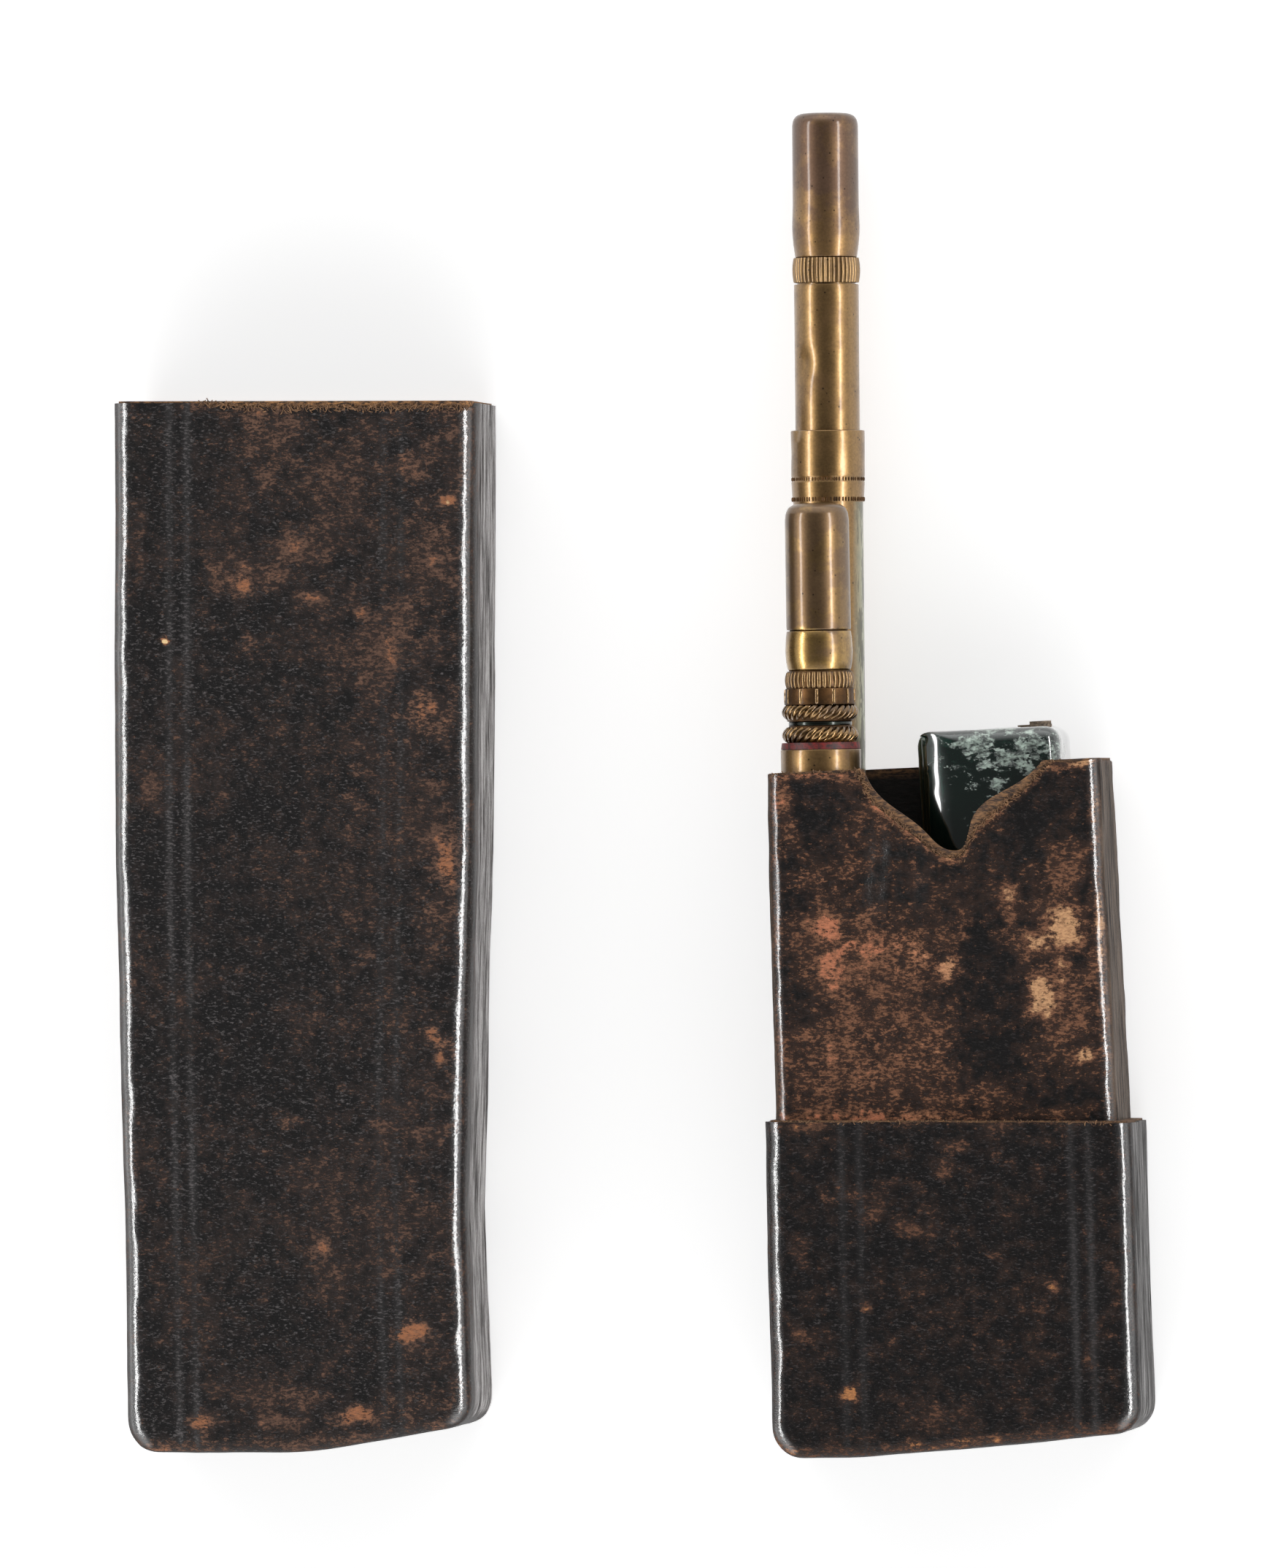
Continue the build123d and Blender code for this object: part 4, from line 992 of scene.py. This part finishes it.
def strand_tree():
    """Geometry nodes: one strand, bent round its own Z axis, repeated in a circle."""
    tree, add, given = new_tree("strands in a circle", {
        "Count": 30, "Radius": 7.0, "Length": 3.0, "Strand Width": 1.0, "Bulge": 0.5, "Twist": 0.0,
        "Unevenness": 0.0, "Sides": 8, "Finish": None})
    half = add("Math", {0: given["Length"], 1: 0.5}, operation="MULTIPLY")
    low = add("Math", {0: half, 1: -1.0}, operation="MULTIPLY")
    start = add("CombineXYZ", {"Z": low})
    end = add("CombineXYZ", {"Z": half})
    line = add("GeometryNodeCurvePrimitiveLine", {"Start": start, "End": end})
    line = add("GeometryNodeResampleCurve", {"Curve": line, "Count": 11})
    along = add("SeparateXYZ", {0: add("GeometryNodeInputPosition")}, out="Z")
    share = add("Math", {0: along, 1: half}, operation="DIVIDE")
    square = add("Math", {0: share, 1: share}, operation="MULTIPLY")
    bow = add("Math", {0: 1.0, 1: square}, operation="SUBTRACT")
    out_by = add("Math", {0: bow, 1: given["Bulge"], 2: given["Radius"]})
    angle = add("Math", {0: share, 1: given["Twist"]}, operation="MULTIPLY")
    x = add("Math", {0: add("Math", {0: angle}, operation="COSINE"), 1: out_by}, operation="MULTIPLY")
    y = add("Math", {0: add("Math", {0: angle}, operation="SINE"), 1: out_by}, operation="MULTIPLY")
    bent = add("GeometryNodeSetPosition",
               {"Geometry": line, "Position": add("CombineXYZ", {0: x, 1: y, 2: along})})
    thick = add("Math", {0: given["Strand Width"], 1: 0.5}, operation="MULTIPLY")
    section = add("GeometryNodeCurvePrimitiveCircle", {"Resolution": given["Sides"], "Radius": thick})
    strand = add("GeometryNodeCurveToMesh", {"Curve": bent, "Profile Curve": section, "Fill Caps": True})
    seats = add("GeometryNodeMeshLine", {"Count": given["Count"], "Offset": (0, 0, 0)})
    step = add("Math", {0: 2 * pi, 1: given["Count"]}, operation="DIVIDE")
    index = add("GeometryNodeInputIndex")
    stray = add("FunctionNodeRandomValue", {2: -1.0, 3: 1.0, "ID": index, "Seed": 4}, data_type="FLOAT")
    place = add("Math", {0: stray, 1: given["Unevenness"], 2: index})
    turn = add("Math", {0: place, 1: step}, operation="MULTIPLY")
    spin = add("CombineXYZ", {"Z": turn})
    ring = add("GeometryNodeInstanceOnPoints", {"Points": seats, "Instance": strand, "Rotation": spin})
    real = add("GeometryNodeRealizeInstances", {0: ring})
    smooth = add("GeometryNodeSetShadeSmooth", {0: real})
    finish = add("GeometryNodeSetMaterial", {"Geometry": smooth, "Material": given["Finish"]})
    add("NodeGroupOutput", {"Geometry": finish})
    return tree


strands = strand_tree()
print("tree inputs:", [item.name for item in strands.interface.items_tree if item.item_type == "SOCKET"])

# %% [markdown]
# A ring is a dark turned core with bright strands on it. The core is what you see between the
# strands, so its dark brass paints the shade in the gaps between them. Core and strands are
# joined into one mesh with two materials, because they are one piece of metal.

# %% Make a ring of strands on a core
CORE = 5.62                 # the inner radius of every core


def evaluated(holder):
    """What an object's modifiers make of it, as a plain mesh. The object goes."""
    seen = holder.evaluated_get(bpy.context.evaluated_depsgraph_get())
    made = bpy.data.meshes.new_from_object(seen)
    bpy.data.objects.remove(holder)
    return made


def plain_mesh(tree, name, values, matrix, start=None):
    """Run a geometry tree once, on a mesh if it needs one, keep the result as a plain mesh and put
    it in its place."""
    holder = link(name, start or bpy.data.meshes.new(name))
    modifier = holder.modifiers.new("make", "NODES")
    modifier.node_group = tree
    for item in tree.interface.items_tree:
        if item.item_type == "SOCKET" and item.in_out == "INPUT" and item.name in values:
            modifier[item.identifier] = values[item.name]
    holder.update_tag()
    made = evaluated(holder)
    made.transform(matrix)
    return made


def joined(name, meshes):
    """Join meshes with one material each into one mesh that keeps them all."""
    whole = bmesh.new()
    made = bpy.data.meshes.new(name)
    for slot, mesh in enumerate(meshes):
        before = len(whole.faces)
        whole.from_mesh(mesh)
        whole.faces.ensure_lookup_table()
        for face in whole.faces[before:]:
            face.material_index = slot
        made.materials.append(mesh.materials[len(mesh.materials) - 1])
    whole.to_mesh(made)
    whole.free()
    made.shade_smooth()
    made.set_sharp_from_angle(angle=radians(45))
    return made


def ring(name, at, core_outline, body, cad_node, finish=None, count=30, radius=6.0, middle=0.0,
         length=3.0, width=1.0, bulge=0.4, twist=0.0, stray=0.0, sides=8):
    """A core of brass with strands round it, all in mm."""
    core = turned(name + "_core", at, core_outline, 0.1, waver=0.01)
    core.data.materials.append(shade_brass)
    values = {"Count": count, "Radius": radius, "Length": length, "Strand Width": width, "Bulge": bulge,
              "Twist": twist, "Unevenness": stray, "Sides": sides, "Finish": finish or yellow_brass}
    lift = Matrix.Translation((0, 0, middle * MM))
    around = plain_mesh(strands, name, values, axis_frame(at) @ lift @ Matrix.Scale(MM, 4))
    piece = link(name, joined(name, [core.data, around]))
    bpy.data.objects.remove(core)
    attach(piece, body)
    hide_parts(cad_node)
    print(name, len(piece.data.polygons), "faces,", count, "strands")
    return piece


ring("pen_bead_reeded", PEN_AT,
     [(CORE, 215.4), (5.85, 215.4), (6.05, 217.7), (5.85, 220.0), (CORE, 220.0)],
     "pen_top", "pen_cap_bead", count=40, radius=5.38, middle=217.7, length=4.3, width=1.3, bulge=0.22,
     stray=0.02, sides=16)
# The collar's milled lines are dark raised ticks; their dark finish paints the shade of the grooves
for name, level, size in (("collar_upper_ticks", 179.3, 0.6), ("collar_lower_ticks", 175.6, 0.7)):
    ticks = plain_mesh(strands, name, {"Count": 72, "Radius": 6.55, "Length": size, "Strand Width": 0.34,
                                       "Bulge": 0.06, "Unevenness": 0.25, "Finish": shade_brass},
                       axis_frame(PEN_AT) @ Matrix.Translation((0, 0, level * MM)) @ Matrix.Scale(MM, 4))
    tick_ring = link(name, ticks)
    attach(tick_ring, "pen_holder")
print("the pen's bead and the collar's ticks are on")

# %% [markdown]
# ## The seal
#
# The short tool is a seal: a barrel with a ferrule, a line of red sealing wax left under the rings,
# two rope rings with a green groove between them, a band of flat panels, a reeded ring, and a domed
# cap that covers the die. Its cap is browned above and bright below, with a hard line where the
# fingers stop.

# %% Turn the seal's barrel, ferrule, neck and cap
brass("seal_barrel", yellow_brass, "seal", SEAL_AT,
      [(0.0, 7.5), (5.3, 7.5), (6.7, 8.9), (6.7, 128.65), (6.1, 128.65), (6.1, 9.1), (0.0, 9.1)], 0.15)

brass("seal_ferrule", yellow_brass, "seal", SEAL_AT,
      [(6.75, 112.0), (7.05, 112.0), (7.35, 112.3), (7.35, 129.6), (6.85, 129.7), (6.85, 130.85),
       (5.65, 130.85), (5.65, 128.75), (6.75, 128.75)], 0.1, waver=0.02, seed=21,
      dents=[(40, 126.5, 1.5, 0.04)])

brass("seal_neck", cap_brass, "seal", SEAL_AT,
      [(5.3, 151.35), (5.9, 151.3), (6.07, 149.8), (6.2, 147.6), (6.08, 145.8), (5.8, 144.3),
       (5.55, 144.15), (5.55, 134.8), (5.8, 134.7), (5.8, 134.05), (5.55, 134.0), (5.55, 122.0),
       (4.85, 122.0), (4.85, 163.0), (5.3, 163.0)], 0.12, waver=0.02, seed=23)

brass("seal_cap", cap_brass, "seal_top", SEAL_AT,
      [(5.36, 151.55), (5.88, 151.5), (5.9, 152.0), (5.88, 171.6), (5.72, 172.9), (5.25, 173.9),
       (4.3, 174.5), (2.6, 174.75), (0.0, 174.8), (0.0, 174.0), (3.8, 173.4), (5.36, 171.8)], 0.25,
      waver=0.04, seed=25, dents=[(-22, 168.5, 2.2, 0.05), (30, 160.0, 3.0, 0.04)])

# %% [markdown]
# The rings, from the wax upwards. The ropes slant the same way and have a rounded face; the reeds
# are finer and fullest near their lower end; the band has only twelve ribs, so its panels read as
# flat.

# %% Set the seal's rings
for name, low, belly, high in (("lower_rope_ring", 130.9, 132.3, 134.0),
                               ("upper_rope_ring", 134.8, 136.5, 137.8)):
    ring(name + "_brass", SEAL_AT, [(CORE, low), (6.0, low), (6.45, belly), (5.75, high), (CORE, high)],
         "seal", name, finish=rope_brass, count=28, radius=5.75, middle=belly, length=2.1, width=1.05,
         bulge=0.78, twist=0.20, stray=0.03)
ring("fluted_band_brass", SEAL_AT,
     [(CORE, 137.85), (6.5, 137.85), (6.36, 138.4), (6.3, 140.4), (6.3, 140.85), (CORE, 140.85)],
     "seal", "fluted_band", count=12, radius=6.18, middle=139.35, length=2.6, width=0.75, bulge=0.06,
     stray=0.05)
ring("seal_reeded_brass", SEAL_AT,
     [(CORE, 140.95), (6.05, 140.95), (6.22, 141.9), (6.0, 143.3), (5.9, 144.0), (CORE, 144.0)],
     "seal", "seal_reeded_ring", count=38, radius=CORE, middle=142.3, length=2.7, width=0.92, bulge=0.28,
     sides=16)

# %% [markdown]
# ## The bottle
#
# The ink bottle is thick dark glass, pressed in a rough mould and rounder on one side, with soft
# shoulders and a dimpled skin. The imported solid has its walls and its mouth. A fine even mesh comes
# from a voxel remesh of a merged copy; then its points are smoothed, its left front edge is rolled
# to a wide round, and soft lumps are added.

# %% Make the bottle from a copy of the solid
BOTTLE_AT = (9.1, 17.15, 2.8)
BOTTLE_FOOT, BOTTLE_TALL, BOTTLE_HALF, ROLLED = 64.0, 69.6, 13.4, 12.5
MOUTH_ACROSS, MOUTH_RADIUS = 7.9, 4.6       # round the mouth the glass has no dimples


def fine_copy(cad_node, name, voxel, smooth_by, rounds):
    """A fine, even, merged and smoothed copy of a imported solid."""
    mesh = bmesh.new()
    mesh.from_mesh(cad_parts[cad_node].data)
    bmesh.ops.remove_doubles(mesh, verts=mesh.verts, dist=0.005 * MM)
    bmesh.ops.recalc_face_normals(mesh, faces=mesh.faces)
    made = bpy.data.meshes.new(name)
    mesh.to_mesh(made)
    mesh.free()
    holder = link(name, made)
    remesh = holder.modifiers.new("even", "REMESH")
    remesh.mode, remesh.voxel_size = "VOXEL", voxel * MM
    smooth = holder.modifiers.new("smooth", "SMOOTH")
    smooth.factor, smooth.iterations = smooth_by, rounds
    fine = evaluated(holder)
    fine.name = name
    return fine


def points_of(mesh):
    """A mesh's points as an array, in mm."""
    flat = np.zeros(len(mesh.vertices) * 3)
    mesh.vertices.foreach_get("co", flat)
    return flat.reshape(-1, 3) / MM


def set_points(mesh, points):
    """Put points in mm back on a mesh."""
    mesh.vertices.foreach_set("co", (np.asarray(points) * MM).ravel())
    mesh.update()


glass = fine_copy("ink_bottle", "ink_bottle_glass", 0.6, 0.5, 5)
to_own = axis_frame(BOTTLE_AT).inverted()
own = np.array([to_own @ v.co for v in glass.vertices]) / MM          # x across, -y to the front, z up
aside, front_side = own[:, 0] + BOTTLE_HALF, own[:, 1] + BOTTLE_HALF
deep = np.minimum.reduce([aside, 2 * BOTTLE_HALF - aside, front_side, 2 * BOTTLE_HALF - front_side,
                          own[:, 2] - BOTTLE_FOOT, BOTTLE_FOOT + BOTTLE_TALL - own[:, 2]])
limit = np.where(deep < 1.2, ROLLED, ROLLED - 1.9)
in_corner = (aside < ROLLED) & (front_side < ROLLED)
gone = np.hypot(ROLLED - aside, ROLLED - front_side)
scale = np.where(in_corner & (gone > limit), limit / np.maximum(gone, 1e-6), 1.0)
own[:, 0] = ROLLED - (ROLLED - aside) * scale - BOTTLE_HALF
own[:, 1] = ROLLED - (ROLLED - front_side) * scale - BOTTLE_HALF
set_points(glass, own)
normal = np.zeros(len(own) * 3)
glass.vertex_normals.foreach_get("vector", normal)
dimples = -0.12 + 0.10 * lumps(own, 6, 101) + 0.035 * lumps(own, 2.2, 102)
from_mouth = np.hypot(own[:, 0] - MOUTH_ACROSS, own[:, 1])
dimples *= 1 - ease(MOUTH_RADIUS - from_mouth, 0, 0.8) * (own[:, 2] > BOTTLE_FOOT + BOTTLE_TALL - 6)
set_points(glass, own + normal.reshape(-1, 3) * dimples[:, None])
glass.transform(axis_frame(BOTTLE_AT))
glass.shade_smooth()
bottle = link("ink_bottle_glass", glass)
print("bottle faces:", len(glass.polygons))

# %% [markdown]
# The glass is bottle green, so thick that it reads as black, and light gets through only at its
# edges. Dried ink and chalky salts cling to it in patches, thickest at the shoulder. The patches
# are where the finish turns from clear glass to a rough, grey-green crust.

# %% The glass finish
material, add = new_material("Dark green bottle glass with dried ink")
here = add("TexCoord", out="Object")
place = add("SeparateXYZ", {0: here}, out="all")
level = add("Mapping", {"Vector": here, "Scale": (0.8, 1.3, 1.0)})
blots = add("TexNoise", {"Vector": level, "Scale": 1 / (5.0 * MM), "Detail": 9.0, "Roughness": 0.72})
crumbs = add("TexNoise", {"Vector": level, "Scale": 1 / (1.3 * MM), "Detail": 7.0, "Roughness": 0.72})
near_top = add("MapRange", {"Value": place["Y"], "From Min": 80 * MM, "From Max": 98 * MM, "To Min": -0.13,
                            "To Max": 0.05})
crust = add("Math", {0: blots, 1: near_top}, operation="ADD")
bare_side = add("MapRange", {"Value": place["X"], "From Min": -2 * MM, "From Max": 5 * MM, "To Min": -0.05,
                             "To Max": 0.03})
crust = add("Math", {0: crust, 1: bare_side}, operation="ADD")
bare_back = add("MapRange", {"Value": place["Z"], "From Min": 14 * MM, "From Max": 26 * MM, "To Min": -0.14,
                             "To Max": 0.0})
crust = add("Math", {0: crust, 1: bare_back}, operation="ADD")
crust = add("Math", {0: crumbs, 1: 0.45, 2: crust})
crust = add("MapRange", {"Value": crust, "From Min": 0.765, "From Max": 0.845},
            interpolation_type="SMOOTHSTEP")
salts = add("MapRange", {"Value": crumbs, "From Min": 0.44, "From Max": 0.62})
salts = add("Mix", {0: salts, 6: "141b18", 7: "a5b5aa"})
colour = add("Mix", {0: crust, 6: "15332a", 7: salts})
rough = add("MapRange", {"Value": crust, "To Min": 0.15, "To Max": 0.42})
clear = add("MapRange", {"Value": crust, "To Min": 0.85, "To Max": 0.1})
pits = add("Math", {0: crust, 1: crumbs}, operation="MULTIPLY")
bump = add("Bump", {"Height": pits, "Strength": 0.5, "Distance": 0.15 * MM})
surface = add("BsdfPrincipled", {"Base Color": colour, "Roughness": rough, "Transmission Weight": clear,
                                 "IOR": 1.55, "Normal": bump, "Specular IOR Level": 0.5, "Coat Weight": 1.0,
                                 "Coat Roughness": 0.05, "Coat IOR": 1.6})
add("OutputMaterial", {0: surface})
dress(bottle, material, "bottle", "green_glass", "ink_bottle")

# %% [markdown]
# ## Board, cork, wax and reed
#
# The pasteboard shows at the mouth of the cover, at the base's rim and along the tear. It is grey
# brown paper in layers, gone orange where hands have greased it, and below its rim it is black.
# These pieces keep the imported solids, which already have the right form, and get finishes.

# %% Finishes for the solids that stay
def board(name, rim, light, slope=0.0, front_lip=40.0):
    """Pasteboard that is brown along its rim and black inside. The rim's height in mm rises by slope
    across the piece; in front of front_lip all of it is brown, as along the tear."""
    material, add = new_material(name)
    here = add("TexCoord", out="Object")
    layers = add("Mapping", {"Vector": here, "Scale": (0.5, 1.6, 2.4)})
    fibre = add("TexNoise", {"Vector": layers, "Scale": 1 / (0.8 * MM), "Detail": 5.0, "Roughness": 0.72})
    stain = add("TexNoise", {"Vector": here, "Scale": 1 / (7 * MM), "Detail": 4.0, "Roughness": 0.6})
    tone = add("MapRange", {"Value": fibre, "From Min": 0.42, "From Max": 0.62})
    dark = add("Mix", {0: stain, 6: "3f2c20", 7: "221812"})
    brown = add("Mix", {0: tone, 6: dark, 7: light})
    black = add("Mix", {0: tone, 6: "0a0908", 7: "1d1815"})
    place = add("SeparateXYZ", {0: here}, out="all")
    edge = add("Math", {0: place["X"], 1: -slope, 2: place["Y"]})
    edge = add("Math", {0: stain, 1: 1.5 * MM, 2: edge})
    top = (rim - BASE_MIDDLE + 0.75) * MM
    near_rim = add("MapRange", {"Value": edge, "From Min": top - 2.0 * MM, "From Max": top - 0.6 * MM})
    lip = add("MapRange", {"Value": place["Z"], "From Min": (front_lip - 0.6) * MM,
                           "From Max": front_lip * MM})
    shown = add("Math", {0: near_rim, 1: lip}, operation="MAXIMUM")
    colour = add("Mix", {0: shown, 6: black, 7: brown})
    bump = add("Bump", {"Height": fibre, "Strength": 1.0, "Distance": 0.3 * MM})
    surface = add("BsdfPrincipled", {"Base Color": colour, "Roughness": 0.85, "Normal": bump})
    add("OutputMaterial", {0: surface})
    return material


def grained(name, dark_hex, light_hex, size, rough, depth, stretch=(1, 1, 1), soft=0.0):
    """A simple natural finish: two colours in a noise of a real size in mm, with its relief."""
    material, add = new_material(name)
    here = add("TexCoord", out="Object")
    shaped = add("Mapping", {"Vector": here, "Scale": stretch})
    noise = add("TexNoise", {"Vector": shaped, "Scale": 1 / (size * MM), "Detail": 5.0, "Roughness": 0.65})
    tone = add("MapRange", {"Value": noise, "From Min": 0.35, "From Max": 0.68})
    colour = add("Mix", {0: tone, 6: dark_hex, 7: light_hex})
    bump = add("Bump", {"Height": noise, "Strength": 0.8, "Distance": depth * MM})
    surface = add("BsdfPrincipled", {"Base Color": colour, "Roughness": rough, "Normal": bump,
                                     "Subsurface Weight": soft, "Subsurface Scale": 0.5 * MM})
    add("OutputMaterial", {0: surface})
    return material


dark_board = grained("Pasteboard, black", "0d0b0a", "2a211c", 3.0, 0.9, 0.1)
cork = grained("Cork, crusted with dried ink", "2c231d", "8a7a68", 0.7, 0.85, 0.2)
wax = grained("Sealing wax, red, hard and dusty", "180303", "700d05", 1.0, 0.5, 0.10)
reed = grained("Cut reed, stained by ink", "4a3722", "a88b57", 0.6, 0.5, 0.04, stretch=(1, 0.08, 1))

finishes = {
    board("Pasteboard of the base, greasy at its rim", BASE_RIM, "84603f"): ["base_board"],
    board("Pasteboard of the sleeve, torn and fibrous", 126.8, "84603f", slope=0.0475, front_lip=33.9):
        ["sleeve_board"],
    board("Pasteboard of the cover, bare at its mouth", COVER_MOUTH, "b07f50"): ["cover_board"],
    dark_board: ["base_floor_board", "well_partition", "bottle_shelf", "cover_end_board"],
    cork: ["bottle_cork"], wax: ["wax_ring"], reed: ["reed_nib"],
    yellow_brass: ["nib_socket", "seal_die"], reflection_brass: ["pen_foot"]}
for finish, names in finishes.items():
    for name in names:
        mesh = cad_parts[name].data
        mesh.materials.clear()
        mesh.materials.append(finish)
print("solids with new finishes:", sum(len(names) for names in finishes.values()))

# %% [markdown]
# ## Frayed fibres
#
# Torn pasteboard and worn leather are fuzzy: short fibres stand off every raw edge, and without them
# a rim looks cut by a knife. They follow an edge and there are hundreds, so a second node tree sets
# them: it runs along a line, scatters points near it, and puts a bent fibre at each, turned and
# sized at random. The real ones are 0.03 mm thick, too fine to show, so these are five times that.

# %% The tree that sets fibres along an edge
def fibre_tree():
    """Geometry nodes: short bent fibres scattered along the line that comes in."""
    tree, add, given = new_tree("fibres along an edge", {
        "Count": 200, "Fibre Length": 1.0, "Fibre Width": 0.12, "Scatter": 0.3, "Finish": None}, "Edge")
    line = add("GeometryNodeMeshToCurve", {0: given["Edge"]})
    line = add("GeometryNodeResampleCurve", {"Curve": line, "Count": given["Count"]})
    back = add("Math", {0: given["Scatter"], 1: -1.0}, operation="MULTIPLY")
    near = add("CombineXYZ", dict.fromkeys(range(3), back))
    far = add("CombineXYZ", dict.fromkeys(range(3), given["Scatter"]))
    stray = add("FunctionNodeRandomValue", {0: near, 1: far, "Seed": 3}, data_type="FLOAT_VECTOR")
    seats = add("GeometryNodeSetPosition", {"Geometry": line, "Offset": stray})
    half = add("Math", {0: given["Fibre Length"], 1: 0.5}, operation="MULTIPLY")
    low = add("Math", {0: half, 1: -1.0}, operation="MULTIPLY")
    bow = add("Math", {0: given["Fibre Length"], 1: 0.25}, operation="MULTIPLY")
    arc = add("GeometryNodeCurveQuadraticBezier", {"Resolution": 4, "Start": add("CombineXYZ", {0: low}),
                                                   "Middle": add("CombineXYZ", {1: bow}),
                                                   "End": add("CombineXYZ", {0: half})})
    thick = add("Math", {0: given["Fibre Width"], 1: 0.5}, operation="MULTIPLY")
    section = add("GeometryNodeCurvePrimitiveCircle", {"Resolution": 4, "Radius": thick})
    fibre = add("GeometryNodeCurveToMesh", {"Curve": arc, "Profile Curve": section, "Fill Caps": True})
    turn = add("FunctionNodeRandomValue", {0: (-0.5, -0.5, -pi), 1: (0.5, 0.5, pi), "Seed": 5},
               data_type="FLOAT_VECTOR")
    size = add("FunctionNodeRandomValue", {2: 0.45, 3: 1.25, "Seed": 9}, data_type="FLOAT")
    fuzz = add("GeometryNodeInstanceOnPoints", {"Points": seats, "Instance": fibre, "Rotation": turn,
                                                "Scale": size})
    real = add("GeometryNodeRealizeInstances", {0: fuzz})
    finish = add("GeometryNodeSetMaterial", {"Geometry": real, "Material": given["Finish"]})
    add("NodeGroupOutput", {"Geometry": finish})
    return tree


fuzz_tree = fibre_tree()
tan_fibre = grained("Paper and leather fibres, tan and greasy", "3a281c", "8d6846", 0.9, 0.8, 0.02)
print("fibre tree inputs:", [item.name for item in fuzz_tree.interface.items_tree
                             if item.item_type == "SOCKET"])


# %% Fray the rims and the tear
def frayed(name, body, path, count, long, scatter):
    """Fibres along a path of (x, height, z) points in mm."""
    edge = bpy.data.meshes.new(name)
    edge.from_pydata([tuple(p) for p in path], [(i, i + 1) for i in range(len(path) - 1)], [])
    made = plain_mesh(fuzz_tree, name, {"Count": count, "Fibre Length": long, "Fibre Width": 0.16,
                                        "Scatter": scatter, "Finish": tan_fibre},
                      Matrix.Translation((0, -BASE_MIDDLE * MM, 0)) @ Matrix.Scale(MM, 4), edge)
    piece = link(name, made)
    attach(piece, body)
    print(name, len(made.polygons), "faces")


def edge_at(top, x_values, z):
    """The points of a rim: its height from a function of x, a little below the raw edge."""
    x_values = np.asarray(x_values, float)
    heights = top(x_values, np.full_like(x_values, z))
    return [(x, h, z) for x, h in zip(x_values, heights)]


for name, body, slot, top, low, high, knots, depth, count, long, scatter in (
        ("cover_mouth_fibres", "cover", "pasteboard", cover_top, -138, -89, 60, DEPTH - 0.15, 520, 1.4, 0.35),
        ("base_rim_fibres", "case", "pasteboard", base_top, -31, 30, 60, DEPTH - 0.2, 260, 0.8, 0.15),
        ("tear_fibres", "case", "pasteboard", sleeve_top, -17.4, 18.3, 90, 34.55, 700, 1.4, 0.35),
        ("sleeve_rim_fibres", "case", "sleeve_leather", sleeve_top, -33, -18, 24, 34.4, 110, 0.9, 0.2)):
    frayed(name, body, edge_at(top, np.linspace(low, high, knots), depth), count, long, scatter)
